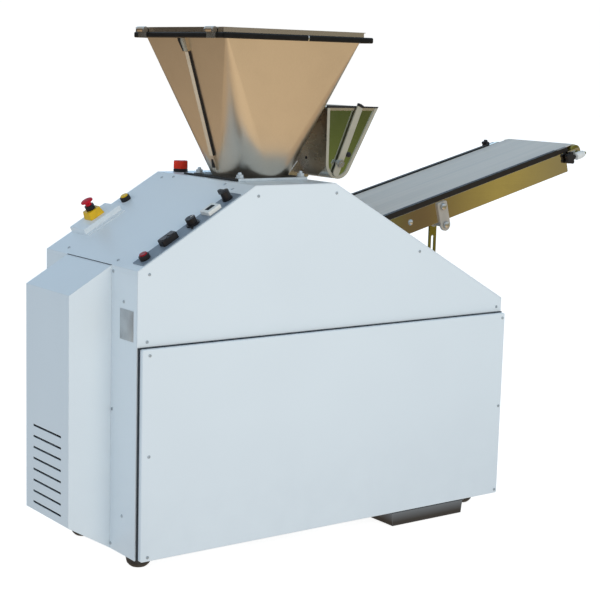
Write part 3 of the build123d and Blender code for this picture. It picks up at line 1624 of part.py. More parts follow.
def estop_box():
    """Low sheet box under the emergency stop, with a flange along its front."""
    y1 = cabinet_depth - stop_box_back_gap
    y0 = y1 - stop_box_width
    s1 = stop_box_start + stop_box_length
    box = block(stop_box_start, s1, y0, y1, 0, stop_box_height)
    box = chamfer(box.edges().group_by(Axis.Z)[-1], sheet)
    t = 2 * sheet
    box -= block(stop_box_start + t, s1 - t, y0 + t, y1 - t, 0, stop_box_height - t)
    box += block(stop_box_start, s1, y0 - stop_box_flange, y0 + sheet, 0, sheet)
    return on_slope(0, 0, 0, box)


def estop_housing():
    """Square yellow housing of the emergency stop."""
    low = RectangleRounded(stop_housing_size, stop_housing_size, stop_travel)
    high = Pos(0, 0, stop_housing_height) * RectangleRounded(stop_housing_top, stop_housing_top, stop_travel)
    return on_slope(stop_at, stop_y, stop_box_height, loft([low, high], ruled=True))


def estop_button():
    """Mushroom head that flares out from its stem."""
    stem_low = stop_collar_height - stop_stem_in_collar
    head_low = stop_collar_height + stop_travel + slide_gap
    brim_low = head_low + stop_head_height * 0.45
    brim_high = head_low + stop_head_height * 0.7
    top = head_low + stop_head_height
    with BuildSketch(Plane.XZ) as half:
        with BuildLine():
            Polyline((0, top), (0, stem_low), (stop_stem_radius, stem_low), (stop_stem_radius, head_low))
            Spline((stop_stem_radius, head_low), (stop_head_radius, brim_low), tangents=((0, 1), (1, 0.3)))
            Line((stop_head_radius, brim_low), (stop_head_radius, brim_high))
            Spline((stop_head_radius, brim_high), (0, top), tangents=((-1, 1), (-1, 0)))
        make_face()
    return on_slope(stop_at, stop_y, stop_box_height + stop_housing_height, revolve(half.sketch, Axis.Z))


def beacon_base():
    """Round base of the signal lamp."""
    return round_z(lamp_x, lamp_y, roof_height, roof_height + lamp_base_height, lamp_base_radius)


def beacon_lens():
    """Lens of the signal lamp, its upper edge rounded."""
    low = roof_height + lamp_base_height
    lens = round_z(lamp_x, lamp_y, low, low + lamp_lens_height, lamp_lens_radius)
    return fillet(lens.edges().group_by(Axis.Z)[-1], lamp_lens_edge)


pieces = [
    base_frame,
    levelling_feet,
    left_end_panel,
    right_end_panel,
    front_upper_panel,
    rear_panel,
    front_door,
    control_slope_panel,
    top_plate,
    outfeed_cover,
    motor_cover,
    drip_tray,
    hopper_shell,
    hopper_rim_trim,
    hopper_base_flange,
    hopper_bolts,
    lid_hinges,
    hopper_lid,
    dough_chamber,
    ram,
    knife,
    measuring_drum,
    measuring_piston,
    rocker,
    crank,
    connecting_rod,
    gearbox,
    main_motor,
    motor_pulley,
    gearbox_pulley,
    drive_belts,
    duster_trough,
    duster_end_plates,
    duster_agitator,
    duster_lever,
    conveyor_frame,
    conveyor_belt,
    drive_roller,
    end_roller,
    conveyor_gearmotor,
    guide_strips,
    knob_near,
    knob_far,
    link_bracket,
    stay_bar,
    stay_stud,
    control_strip,
    control_bezels,
    red_button,
    stop_button,
    start_button,
    yellow_button,
    speed_knob,
    selector_knob,
    counter_unit,
    estop_box,
    estop_housing,
    estop_button,
    beacon_base,
    beacon_lens,
]

os.makedirs("parts", exist_ok=True)
for piece in pieces:
    export_step(Pos(-origin_x, -origin_y, 0) * piece(), f"parts/{piece.__name__}.step")
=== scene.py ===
"""Finishes, small fittings, studio and camera for a volumetric dough divider."""
import math

import bmesh
import bpy
from mathutils import Matrix, Vector


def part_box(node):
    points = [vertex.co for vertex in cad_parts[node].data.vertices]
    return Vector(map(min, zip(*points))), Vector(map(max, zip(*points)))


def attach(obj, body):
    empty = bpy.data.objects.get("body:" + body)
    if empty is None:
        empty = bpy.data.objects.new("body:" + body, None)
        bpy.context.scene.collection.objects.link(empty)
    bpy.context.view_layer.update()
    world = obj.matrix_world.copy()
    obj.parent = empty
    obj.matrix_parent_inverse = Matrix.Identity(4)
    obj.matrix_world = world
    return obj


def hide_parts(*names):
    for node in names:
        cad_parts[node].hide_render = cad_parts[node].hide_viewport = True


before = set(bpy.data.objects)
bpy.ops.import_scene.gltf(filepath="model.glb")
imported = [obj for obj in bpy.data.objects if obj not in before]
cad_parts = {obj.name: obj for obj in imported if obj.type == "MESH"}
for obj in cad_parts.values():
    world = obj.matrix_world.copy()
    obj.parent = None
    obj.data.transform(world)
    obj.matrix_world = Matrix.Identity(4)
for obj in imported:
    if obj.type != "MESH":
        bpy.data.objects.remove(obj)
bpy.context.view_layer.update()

bl_info = {
    "name": "Dough divider dressing",
    "version": (1, 0, 0),
    "blender": (4, 5, 0),
    "location": "View3D > Sidebar > Dough Divider",
    "description": "Adds finishes, fittings, studio light and a camera to a dough divider",
    "category": "Object",
}

# Places and ways on the machine, read from the frame in metres.
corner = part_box("front_upper_panel")[0]
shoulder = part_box("motor_cover")[1].z
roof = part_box("top_plate")[1].z
slope_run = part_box("top_plate")[0].x - corner.x
up_slope = Vector((slope_run, 0, roof - shoulder)).normalized()
off_slope = Vector((-up_slope.z, 0, up_slope.x))
low_roller = sum(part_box("end_roller"), Vector()) / 2
tip_roller = sum(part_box("drive_roller"), Vector()) / 2
up_belt = Vector((tip_roller.x - low_roller.x, 0, tip_roller.z - low_roller.z)).normalized()
off_belt = Vector((-up_belt.z, 0, up_belt.x))
to_right = Vector((1, 0, 0))

# Millimetres from the cabinet's front left corner, the duster lever's lean and the lens's count of ribs.
cabinet_length = 1300
cabinet_depth = 517
door_face = -19.5
belt_radius = 24.3
conveyor_front = 92
conveyor_back = 425
duster_x = 732
duster_z = 1090
lever_lean = math.radians(23)
lens_ribs = 36


def linear(text):
    """Linear RGBA of an sRGB hex value."""
    shares = [int(text[i:i + 2], 16) / 255 for i in (1, 3, 5)]
    return (*(c / 12.92 if c <= 0.04045 else ((c + 0.055) / 1.055) ** 2.4 for c in shares), 1.0)


def per_metre(mm):
    """Pattern scale that repeats about every so many millimetres."""
    return 1000 / mm


def at(x, y, z):
    """Point so many millimetres from the cabinet's front left corner on the floor."""
    return Vector((corner.x + x / 1000, corner.y + y / 1000, z / 1000))


def on_slope(along, y, up=0.0):
    """Point on the control slope: along it from the shoulder, y from the front, up from its face."""
    start = Vector((corner.x, corner.y + y / 1000, shoulder))
    return start + up_slope * along / 1000 + off_slope * up / 1000


def on_belt(along, y, up):
    """Point on the conveyor: along from the lower roller's axis, up from the belt's face."""
    start = Vector((low_roller.x, corner.y + y / 1000, low_roller.z))
    return start + up_belt * along / 1000 + off_belt * (up + belt_radius) / 1000


def facing(point, outward, side=Vector((0, 1, 0))):
    """Placing matrix whose local Z is outward and whose local X is as near to side as it can be."""
    z = Vector(outward).normalized()
    y = z.cross(Vector(side)).normalized()
    turn = Matrix((y.cross(z), y, z)).transposed()
    return Matrix.Translation(point) @ turn.to_4x4()


def level(x, y, z):
    """Placing matrix at a point from the cabinet's corner, not turned."""
    return Matrix.Translation(at(x, y, z))


def front_facing(point):
    """Placing matrix that faces the front: its local X points right and its Y up."""
    return facing(point, (0, -1, 0), to_right)


def off_strip(along, y, up):
    """Placing matrix that faces off the control slope, with its local X up the slope."""
    return facing(on_slope(along, y, up), off_slope, up_slope)


# Materials. Socket numbers below: a Map Range takes its value at 0, the range that it comes in at 1 and 2
# and the range that it goes to at 3 and 4. A colour Mix takes its share at 0 and its colours at 6 and 7.

def add_node(material, kind, settings=None, links=None):
    """One shader node with its settings and the outputs that feed it."""
    tree = material.node_tree
    node = tree.nodes.new(kind)
    for key, value in (settings or {}).items():
        if isinstance(key, int) or key in node.inputs:
            node.inputs[key].default_value = value
        else:
            setattr(node, key, value)
    for key, (source, output) in (links or {}).items():
        tree.links.new(source.outputs[output], node.inputs[key])
    return node


def start_material(name, settings):
    """New material with its main shader's constants set."""
    material = bpy.data.materials.new(name)
    material.use_nodes = True
    shader = material.node_tree.nodes["Principled BSDF"]
    for key, value in settings.items():
        shader.inputs[key].default_value = value
    return material, shader


def feed(material, shader, links):
    """Joins outputs to the main shader's sockets."""
    for key, (source, output) in links.items():
        material.node_tree.links.new(source.outputs[output], shader.inputs[key])


def powder_coat(name, colour, dusty, gloss):
    """Polyester powder coat, sprayed and baked: even satin colour, faint orange peel, dust low down."""
    material, shader = start_material(name, {"Specular IOR Level": 0.5})
    place = add_node(material, "ShaderNodeTexCoord")
    cloud = add_node(material, "ShaderNodeTexNoise", {"Scale": per_metre(420), "Detail": 2.0},
                     {"Vector": (place, "Object")})
    shade = add_node(material, "ShaderNodeMapRange", {1: 0.3, 2: 0.7, 3: 0.0, 4: 0.10}, {0: (cloud, 0)})
    tone = add_node(material, "ShaderNodeMix", {"data_type": "RGBA", 6: colour, 7: dusty}, {0: (shade, 0)})
    axes = add_node(material, "ShaderNodeSeparateXYZ", None, {0: (place, "Object")})
    low = add_node(material, "ShaderNodeMapRange", {1: 0.04, 2: 0.40, 3: 0.30, 4: 0.0}, {0: (axes, 2)})
    speck = add_node(material, "ShaderNodeTexNoise", {"Scale": per_metre(70), "Detail": 5.0},
                     {"Vector": (place, "Object")})
    dust = add_node(material, "ShaderNodeMath", {"operation": "MULTIPLY"}, {0: (low, 0), 1: (speck, 0)})
    dusted = add_node(material, "ShaderNodeMix", {"data_type": "RGBA", 7: dusty},
                      {0: (dust, 0), 6: (tone, 2)})
    # Folds of 2 mm sheet have a small radius, and the coat is thinner along them. The paler colour along
    # them is partly that thin coat and partly a painted highlight on the fold.
    fold = add_node(material, "ShaderNodeBevel", {"samples": 4, "Radius": 0.0016})
    flat = add_node(material, "ShaderNodeNewGeometry")
    turn = add_node(material, "ShaderNodeVectorMath", {"operation": "DOT_PRODUCT"},
                    {0: (fold, 0), 1: (flat, "Normal")})
    thin_coat_and_highlight = add_node(material, "ShaderNodeMapRange", {1: 0.995, 2: 0.80, 3: 0.0, 4: 0.35},
                    {0: (turn, "Value")})
    edged = add_node(material, "ShaderNodeMix", {"data_type": "RGBA", 7: linear("#F4F7F9")},
                     {0: (thin_coat_and_highlight, 0), 6: (dusted, 2)})
    # Orange peel is about 3 mm across, drawn twice as coarse so that it shows.
    peel = add_node(material, "ShaderNodeTexNoise", {"Scale": per_metre(6), "Detail": 2.0},
                    {"Vector": (place, "Object")})
    bump = add_node(material, "ShaderNodeBump", {"Strength": 0.06, "Distance": 0.0004},
                    {"Height": (peel, 0), "Normal": (fold, 0)})
    sheen = add_node(material, "ShaderNodeMapRange", {1: 0.3, 2: 0.7, 3: gloss - 0.02, 4: gloss + 0.04},
                     {0: (speck, 0)})
    feed(material, shader, {"Base Color": (edged, 2), "Roughness": (sheen, 0), "Normal": (bump, 0)})
    return material


def paint_fold_highlight(material, low, high, pale):
    """Paints a highlight on a face: paler from height low to height high, towards the fold at its upper
    edge.
    """
    shader = material.node_tree.nodes["Principled BSDF"]
    coat = shader.inputs["Base Color"].links[0].from_socket
    place = add_node(material, "ShaderNodeTexCoord")
    axes = add_node(material, "ShaderNodeSeparateXYZ", None, {0: (place, "Object")})
    rise = add_node(material, "ShaderNodeMapRange", {1: low, 2: high, 3: 0.0, 4: 1.0}, {0: (axes, 2)})
    tone = add_node(material, "ShaderNodeMix", {"data_type": "RGBA", 7: pale}, {0: (rise, 0)})
    material.node_tree.links.new(coat, tone.inputs[6])
    feed(material, shader, {"Base Color": (tone, 2)})


def brushed_stainless(name, colour, stain, lines, gloss, handled, brushed):
    """Cold-rolled stainless sheet with a brushed grain: soft streaked mirror with darker handling marks."""
    material, shader = start_material(name, {"Metallic": 1.0})
    place = add_node(material, "ShaderNodeTexCoord")
    # The grit leaves lines well under a millimetre apart, drawn at 1.5 mm so that they show.
    fine, long = per_metre(1.5), per_metre(160)
    scale = tuple(long if axis == lines else fine for axis in "xyz")
    stretch = add_node(material, "ShaderNodeMapping", {"Scale": scale}, {"Vector": (place, "Object")})
    grain = add_node(material, "ShaderNodeTexNoise", {"Scale": 1.0, "Detail": 3.0},
                     {"Vector": (stretch, 0)})
    marks = add_node(material, "ShaderNodeTexNoise",
                     {"Scale": per_metre(130), "Detail": 4.0, "Roughness": 0.6},
                     {"Vector": (place, "Object")})
    wiped = add_node(material, "ShaderNodeMapRange", {1: 0.42, 2: 0.70, 3: 0.0, 4: handled},
                     {0: (marks, 0)})
    streak = add_node(material, "ShaderNodeMapRange", {1: 0.35, 2: 0.65, 3: 0.0, 4: brushed},
                      {0: (grain, 0)})
    both = add_node(material, "ShaderNodeMath", {"operation": "ADD"}, {0: (wiped, 0), 1: (streak, 0)})
    tone = add_node(material, "ShaderNodeMix", {"data_type": "RGBA", 6: colour, 7: stain}, {0: (both, 0)})
    rough = add_node(material, "ShaderNodeMapRange", {1: 0.0, 2: 0.5, 3: gloss, 4: gloss + 0.12},
                     {0: (both, 0)})
    fold = add_node(material, "ShaderNodeBevel", {"samples": 4, "Radius": 0.0010})
    bump = add_node(material, "ShaderNodeBump", {"Strength": brushed * 0.8, "Distance": 0.0002},
                    {"Height": (grain, 0), "Normal": (fold, 0)})
    feed(material, shader, {"Base Color": (tone, 2), "Roughness": (rough, 0), "Normal": (bump, 0)})
    return material


def worked_metal(name, colour, grime, grit, gloss, metallic, depth):
    """Machined, cast, plated or enamelled metal: mottled tone, fine grit, grime in patches."""
    material, shader = start_material(name, {"Metallic": metallic})
    place = add_node(material, "ShaderNodeTexCoord")
    mottle = add_node(material, "ShaderNodeTexNoise", {"Scale": per_metre(45), "Detail": 5.0},
                      {"Vector": (place, "Object")})
    spots = add_node(material, "ShaderNodeMapRange", {1: 0.40, 2: 0.72, 3: 0.0, 4: 0.6}, {0: (mottle, 0)})
    tone = add_node(material, "ShaderNodeMix", {"data_type": "RGBA", 6: colour, 7: grime}, {0: (spots, 0)})
    rough = add_node(material, "ShaderNodeMapRange", {1: 0.3, 2: 0.7, 3: gloss - 0.06, 4: gloss + 0.10},
                     {0: (mottle, 0)})
    sand = add_node(material, "ShaderNodeTexNoise", {"Scale": per_metre(grit), "Detail": 3.0},
                    {"Vector": (place, "Object")})
    fold = add_node(material, "ShaderNodeBevel", {"samples": 4, "Radius": 0.0008})
    bump = add_node(material, "ShaderNodeBump", {"Strength": depth, "Distance": 0.0004},
                    {"Height": (sand, 0), "Normal": (fold, 0)})
    feed(material, shader, {"Base Color": (tone, 2), "Roughness": (rough, 0), "Normal": (bump, 0)})
    return material


def moulding(name, colour, faded, gloss, grit, shine=0.5):
    """Moulded plastic or rubber: even dye, a fine spark-eroded grain, dull in rubbed patches."""
    material, shader = start_material(name, {"IOR": 1.5, "Specular IOR Level": shine})
    place = add_node(material, "ShaderNodeTexCoord")
    wear = add_node(material, "ShaderNodeTexNoise", {"Scale": per_metre(18), "Detail": 4.0},
                    {"Vector": (place, "Object")})
    dull = add_node(material, "ShaderNodeMapRange", {1: 0.40, 2: 0.75, 3: 0.0, 4: 0.5}, {0: (wear, 0)})
    tone = add_node(material, "ShaderNodeMix", {"data_type": "RGBA", 6: colour, 7: faded}, {0: (dull, 0)})
    rough = add_node(material, "ShaderNodeMapRange", {1: 0.0, 2: 0.5, 3: gloss, 4: gloss + 0.14},
                     {0: (dull, 0)})
    # The grain is a few tenths of a millimetre, drawn coarser so that it shows.
    grain = add_node(material, "ShaderNodeTexNoise", {"Scale": per_metre(grit), "Detail": 2.0},
                     {"Vector": (place, "Object")})
    fold = add_node(material, "ShaderNodeBevel", {"samples": 4, "Radius": 0.0007})
    bump = add_node(material, "ShaderNodeBump", {"Strength": 0.15, "Distance": 0.0002},
                    {"Height": (grain, 0), "Normal": (fold, 0)})
    feed(material, shader, {"Base Color": (tone, 2), "Roughness": (rough, 0), "Normal": (bump, 0)})
    return material


def belt_fabric(name, colour, floured):
    """Polyurethane-coated belt fabric: pale matte face, fine square weave, streaks along the run."""
    material, shader = start_material(name, {"Specular IOR Level": 0.35})
    place = add_node(material, "ShaderNodeTexCoord")
    # Threads are about 0.5 mm apart, drawn at 3 mm so that they show.
    threads = per_metre(3) / math.tau
    warp = add_node(material, "ShaderNodeTexWave", {"bands_direction": "Y", "Scale": threads},
                    {"Vector": (place, "Object")})
    weft = add_node(material, "ShaderNodeTexWave", {"bands_direction": "X", "Scale": threads},
                    {"Vector": (place, "Object")})
    weave = add_node(material, "ShaderNodeMath", {"operation": "MULTIPLY"}, {0: (warp, 1), 1: (weft, 1)})
    long, narrow = per_metre(700), per_metre(22)
    stretch = add_node(material, "ShaderNodeMapping", {"Scale": (long, narrow, long)},
                       {"Vector": (place, "Object")})
    run = add_node(material, "ShaderNodeTexNoise", {"Scale": 1.0, "Detail": 4.0}, {"Vector": (stretch, 0)})
    streak = add_node(material, "ShaderNodeMapRange", {1: 0.35, 2: 0.7, 3: 0.0, 4: 0.5}, {0: (run, 0)})
    tone = add_node(material, "ShaderNodeMix", {"data_type": "RGBA", 6: colour, 7: floured},
                    {0: (streak, 0)})
    rough = add_node(material, "ShaderNodeMapRange", {1: 0.3, 2: 0.7, 3: 0.48, 4: 0.62}, {0: (run, 0)})
    bump = add_node(material, "ShaderNodeBump", {"Strength": 0.10, "Distance": 0.0003},
                    {"Height": (weave, 0)})
    feed(material, shader, {"Base Color": (tone, 2), "Roughness": (rough, 0), "Normal": (bump, 0)})
    return material


def lens_plastic(name, colour, deep):
    """Dyed polycarbonate lens: glossy, with upright ribs moulded into it and painted shade darkening the
    grooves between them.
    """
    material, shader = start_material(name, {
        "IOR": 1.58, "Specular IOR Level": 0.3, "Subsurface Weight": 0.15,
        "Subsurface Radius": (0.006, 0.002, 0.001), "Subsurface Scale": 1.0})
    place = add_node(material, "ShaderNodeTexCoord")
    middle = sum(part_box("beacon_lens"), Vector()) / 2
    centred = add_node(material, "ShaderNodeVectorMath", {"operation": "SUBTRACT", 1: middle},
                       {0: (place, "Object")})
    round_way = add_node(material, "ShaderNodeTexGradient", {"gradient_type": "RADIAL"},
                         {"Vector": (centred, 0)})
    ribs = add_node(material, "ShaderNodeMath", {"operation": "MULTIPLY", 1: lens_ribs * math.tau},
                    {0: (round_way, 1)})
    wave = add_node(material, "ShaderNodeMath", {"operation": "SINE"}, {0: (ribs, 0)})
    # The colour darkens between the ribs: painted shade in the grooves.
    share = add_node(material, "ShaderNodeMapRange", {1: -1.0, 2: 1.0, 3: 0.6, 4: 0.0}, {0: (wave, 0)})
    tone = add_node(material, "ShaderNodeMix", {"data_type": "RGBA", 6: colour, 7: deep}, {0: (share, 0)})
    rough = add_node(material, "ShaderNodeMapRange", {1: 0.0, 2: 0.6, 3: 0.22, 4: 0.36}, {0: (share, 0)})
    bump = add_node(material, "ShaderNodeBump", {"Strength": 0.35, "Distance": 0.0006},
                    {"Height": (wave, 0)})
    feed(material, shader, {"Base Color": (tone, 2), "Roughness": (rough, 0), "Normal": (bump, 0)})
    return material


def colour_prop(name, use, text):
    """Colour that a user may change."""
    return bpy.props.FloatVectorProperty(name=name, description=use, subtype="COLOR", size=4, min=0.0,
                                         max=1.0, default=linear(text))


def length_prop(name, use, mm):
    """Length that a user may change."""
    return bpy.props.FloatProperty(name=name, description=use, default=mm / 1000, min=0.0, unit="LENGTH")


class DividerColours(bpy.types.PropertyGroup):
    """Colours of the machine's finishes."""
    coat: colour_prop("Cabinet coat", "Powder coat of the cabinet's sheets", "#E9F0F4")
    coat_dust: colour_prop("Dusty coat", "Coat under dust, low on the cabinet", "#C9D0D6")
    frame_paint: colour_prop("Frame paint", "Paint of the welded bars", "#BEC3C5")
    strip_coat: colour_prop("Control strip", "Blue-grey strip under the controls", "#7C8894")
    tray_coat: colour_prop("Tray", "Dark sheet tray under the machine", "#373432")
    steel: colour_prop("Stainless", "Brushed stainless sheet", "#DCD3C4")
    steel_stain: colour_prop("Stainless marks", "Handling marks on the stainless sheet", "#B9AE9D")
    mirror_steel: colour_prop("Mirror steel", "Polished end plates of the flour duster", "#D2D6C8")
    lid_steel: colour_prop("Lid steel", "Dull stainless lid of the hopper", "#C6B9A8")
    bracket: colour_prop("Bracket", "Satin aluminium bracket under the conveyor", "#C9C4BC")
    plated: colour_prop("Bright zinc", "Bolts, lever nut and lid hinges", "#D6D6D2")
    casting: colour_prop("Casting", "Machined castings inside", "#A4A5A3")
    enamel: colour_prop("Enamel", "Motor and gearbox enamel", "#5E7489")
    belt: colour_prop("Belt", "Conveyor belt face", "#E4DACE")
    black: colour_prop("Black plastic", "Knobs and bezels", "#1E1D20")
    trim: colour_prop("Rim trim", "Black rubber trim of the hopper's rim", "#0B0A0A")
    guide: colour_prop("Guide strips", "Dark strips beside the belt", "#1F1A16")
    white: colour_prop("White plastic", "Counter case and sleeve", "#EBEBE7")
    red: colour_prop("Red plastic", "Red mushroom of the emergency stop", "#CE1228")
    yellow: colour_prop("Yellow plastic", "Yellow button and stop housing", "#EDBE05")
    lens: colour_prop("Lamp lens", "Red lamp on the roof", "#FA3A1E")
    # The olive is a painted reflection of green and gold surroundings on plain steel.
    olive: colour_prop("Olive painted reflection", "Plated roller, stay and rod end, olive as a painted reflection", "#A39A4E")


class DividerSizes(bpy.types.PropertyGroup):
    """Sizes of the small fittings."""
    screw_radius: length_prop("Screw radius", "Radius of a panel screw's head", 4.6)
    screw_height: length_prop("Screw height", "Height of a panel screw's head", 2.4)
    seal: length_prop("Door gap shade", "Width of the door's gap shade strip, seen from the front", 3.0)
    plate_width: length_prop("Plate width", "Width of the blank plate on the left end", 70.0)
    plate_height: length_prop("Plate height", "Height of the blank plate on the left end", 82.0)
    sleeve_radius: length_prop("Sleeve radius", "Radius of the white sleeve at the conveyor's tip", 12.5)
    sleeve_length: length_prop("Sleeve length", "Length of the white sleeve at the conveyor's tip", 37.0)
    lens_radius: length_prop("Lamp lens radius", "Radius of the red lamp lens on the roof", 21.0)
    cap_length: length_prop("Lever cap", "Length of the black cap on the duster lever", 9.0)


def palette():
    """Every material by name, made on first use."""
    if "white coat on sheet steel" in bpy.data.materials:
        return {m.name: m for m in bpy.data.materials}
    c = bpy.context.scene.divider_colours
    # Sheets and bars, sprayed: satin white, mid grey, blue-grey and a near black with a painted highlight
    # towards its fold.
    # Colour, dusty colour, gloss.
    powder_coat("white coat on sheet steel", c.coat, c.coat_dust, 0.33)
    powder_coat("grey paint on welded bars", c.frame_paint, linear("#8D9092"), 0.50)
    powder_coat("blue-grey coat on the control strip", c.strip_coat, linear("#626D78"), 0.42)
    tray = powder_coat("dark coat on the tray", c.tray_coat, linear("#2E2B29"), 0.50)
    # The tray's front grows paler upwards: a painted highlight towards its upper fold.
    low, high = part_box("drip_tray")
    paint_fold_highlight(tray, low.z + 0.010, high.z, linear("#74777A"))
    # Stainless sheet: soft mirror with fine lines one way, sharper on the conveyor and the end plates.
    # Colour, colour of marks, way of the lines, gloss, share handled, share brushed.
    brushed_stainless("hopper stainless, upright grain", c.steel, c.steel_stain, "z", 0.28, 0.10, 0.10)
    brushed_stainless("duster stainless, level grain", c.steel, c.steel_stain, "y", 0.26, 0.12, 0.04)
    brushed_stainless("conveyor stainless, long grain", c.steel, c.steel_stain, "x", 0.05, 0.12, 0.06)
    # The end plates' faint green tint is a painted reflection of green surroundings.
    brushed_stainless("mirror stainless plates", c.mirror_steel, linear("#B4B9A6"), "z", 0.08, 0.08, 0.04)
    brushed_stainless("lid stainless, level grain", c.lid_steel, linear("#A3978A"), "y", 0.24, 0.15, 0.06)
    # Other metal: dull mirror on bare and plated steel, some with an olive painted reflection, near matte
    # on castings, enamel and the flange, which is dark as painted shade and reflection.
    # Colour, colour of grime, grit in millimetres, gloss, metallic share, depth of grit.
    worked_metal("machined steel", linear("#B9BABB"), linear("#8B8A86"), 3.0, 0.32, 1.0, 0.10)
    worked_metal("bright zinc plate", c.plated, linear("#A9A8A2"), 2.5, 0.22, 1.0, 0.06)
    # Olive on steel: a painted reflection of green and gold surroundings.
    worked_metal("olive passivated zinc", c.olive, linear("#6E6736"), 2.5, 0.30, 1.0, 0.06)
    worked_metal("satin aluminium bracket", c.bracket, linear("#A59F96"), 2.5, 0.45, 0.5, 0.08)
    worked_metal("grey casting", c.casting, linear("#4A4742"), 4.0, 0.55, 0.8, 0.35)
    worked_metal("blue-grey enamel on castings", c.enamel, linear("#44566A"), 5.0, 0.42, 0.0, 0.25)
    worked_metal("satin lever steel", linear("#BDB8A8"), linear("#A19C8B"), 2.5, 0.45, 0.35, 0.06)
    worked_metal("grey zinc screws", linear("#BAC3C9"), linear("#8D969C"), 2.5, 0.45, 0.3, 0.06)
    worked_metal("pale zinc caps", linear("#D3DCE2"), linear("#AEB8BF"), 2.5, 0.35, 0.3, 0.06)
    # The pale strip steel is a painted highlight.
    worked_metal("pale strip steel", linear("#F0DEC4"), linear("#D6C4A8"), 2.5, 0.35, 0.35, 0.05)
    # The flange's dark colour is painted shade and a painted dark reflection.
    worked_metal("blackened flange steel", linear("#3E3A34"), linear("#27251F"), 3.0, 0.55, 0.0, 0.10)
    worked_metal("anodised blank plate", linear("#C6CACD"), linear("#A8ADB2"), 2.0, 0.38, 0.9, 0.06)
    # Rubber and plastic: deep even dye, from the wet look of the rim trim to the matte feet and window.
    # Colour, faded colour, gloss, grain in millimetres, strength of the highlight.
    moulding("glossy rubber rim trim", c.trim, linear("#151414"), 0.34, 4.0, 0.3)
    moulding("black rubber", linear("#1C1C1E"), linear("#333333"), 0.50, 4.0)
    moulding("foot rubber", linear("#2E2B28"), linear("#534F48"), 0.60, 4.0)
    moulding("dark guide plastic", c.guide, linear("#2E2721"), 0.46, 3.0, 0.3)
    moulding("grey nylon plate", linear("#8F8B87"), linear("#7A7570"), 0.50, 3.0, 0.3)
    moulding("black plastic", c.black, linear("#2C2A2B"), 0.36, 2.0, 0.35)
    moulding("white plastic", c.white, linear("#D2D1CB"), 0.34, 2.0)
    moulding("red plastic", c.red, linear("#A8142A"), 0.42, 2.0, 0.3)
    moulding("yellow plastic", c.yellow, linear("#C79F1E"), 0.32, 2.0)
    moulding("window plastic", linear("#070708"), linear("#0E0E10"), 0.50, 3.0, 0.15)
    moulding("dark red cap", linear("#9E1020"), linear("#6E1018"), 0.34, 2.0)
    moulding("brown-black caps", linear("#2A201B"), linear("#4E3D34"), 0.24, 5.0)
    # The blue-black strips in the door's gap are painted shade; the line along the motor cover is a dark
    # seam.
    moulding("blue-black seal", linear("#18222E"), linear("#263344"), 0.50, 4.0)
    belt_fabric("coated belt fabric", c.belt, linear("#CFCBC5"))
    lens_plastic("red lamp lens", c.lens, linear("#BE180C"))
    return {m.name: m for m in bpy.data.materials}


node_finish = {
    "white coat on sheet steel": (
        "left_end_panel", "right_end_panel", "front_upper_panel", "rear_panel", "front_door",
        "control_slope_panel", "top_plate", "outfeed_cover", "motor_cover", "estop_box"),
    "grey paint on welded bars": ("base_frame",),
    "blue-grey coat on the control strip": ("control_strip",),
    "dark coat on the tray": ("drip_tray",),
    "hopper stainless, upright grain": ("hopper_shell",),
    "blackened flange steel": ("hopper_base_flange",),
    "duster stainless, level grain": ("duster_trough",),
    "lid stainless, level grain": ("hopper_lid",),
    "conveyor stainless, long grain": ("conveyor_frame",),
    "mirror stainless plates": ("duster_end_plates",),
    "satin aluminium bracket": ("link_bracket",),
    "machined steel": (
        "ram", "knife", "measuring_drum", "measuring_piston", "crank", "connecting_rod", "duster_agitator",
        "end_roller", "stay_stud"),
    "olive passivated zinc": ("drive_roller", "stay_bar"),
    "bright zinc plate": ("lid_hinges",),
    "pale zinc caps": ("hopper_bolts",),
    "satin lever steel": ("duster_lever",),
    "grey casting": ("dough_chamber", "rocker", "motor_pulley", "gearbox_pulley"),
    "blue-grey enamel on castings": ("gearbox", "main_motor", "conveyor_gearmotor"),
    "glossy rubber rim trim": ("hopper_rim_trim",),
    "black rubber": ("drive_belts",),
    "foot rubber": ("levelling_feet",),
    "dark guide plastic": ("guide_strips",),
    "black plastic": (
        "knob_near", "knob_far", "control_bezels", "speed_knob", "selector_knob", "beacon_base"),
    "brown-black caps": ("stop_button", "start_button"),
    "dark red cap": ("red_button",),
    "white plastic": ("counter_unit",),
    "red plastic": ("estop_button",),
    "yellow plastic": ("yellow_button", "estop_housing"),
    "coated belt fabric": ("conveyor_belt",),
    "red lamp lens": ("beacon_lens",),
}


# Mesh helpers

def finish_piece(name, bm, material, body):
    """Turns a bmesh into a piece that rides on a body, with folds past 32 degrees kept sharp."""
    bmesh.ops.remove_doubles(bm, verts=bm.verts, dist=1e-6)
    bmesh.ops.recalc_face_normals(bm, faces=bm.faces)
    mesh = bpy.data.meshes.new(name)
    bm.to_mesh(mesh)
    bm.free()
    mesh.materials.append(palette()[material])
    mesh.shade_smooth()
    mesh.set_sharp_from_angle(angle=math.radians(32))
    piece = bpy.data.objects.new(name, mesh)
    bpy.context.scene.collection.objects.link(piece)
    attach(piece, body)
    return piece


def turned(bm, profile, place, steps=20):
    """Spins a profile of (radius, height) millimetres round the placing matrix's Z and closes its foot."""
    before = set(bm.verts)
    foot = (0, profile[-1][1]) if profile[0][0] == 0 else profile[0]
    profile = profile + [foot]
    line = [bm.verts.new((radius / 1000, 0, height / 1000)) for radius, height in profile]
    edges = [bm.edges.new(pair) for pair in zip(line, line[1:])]
    bmesh.ops.spin(bm, geom=line + edges, cent=(0, 0, 0), axis=(0, 0, 1), angle=2 * math.pi, steps=steps,
                   use_merge=True)
    new = [v for v in bm.verts if v not in before]
    bmesh.ops.transform(bm, matrix=place, verts=new)


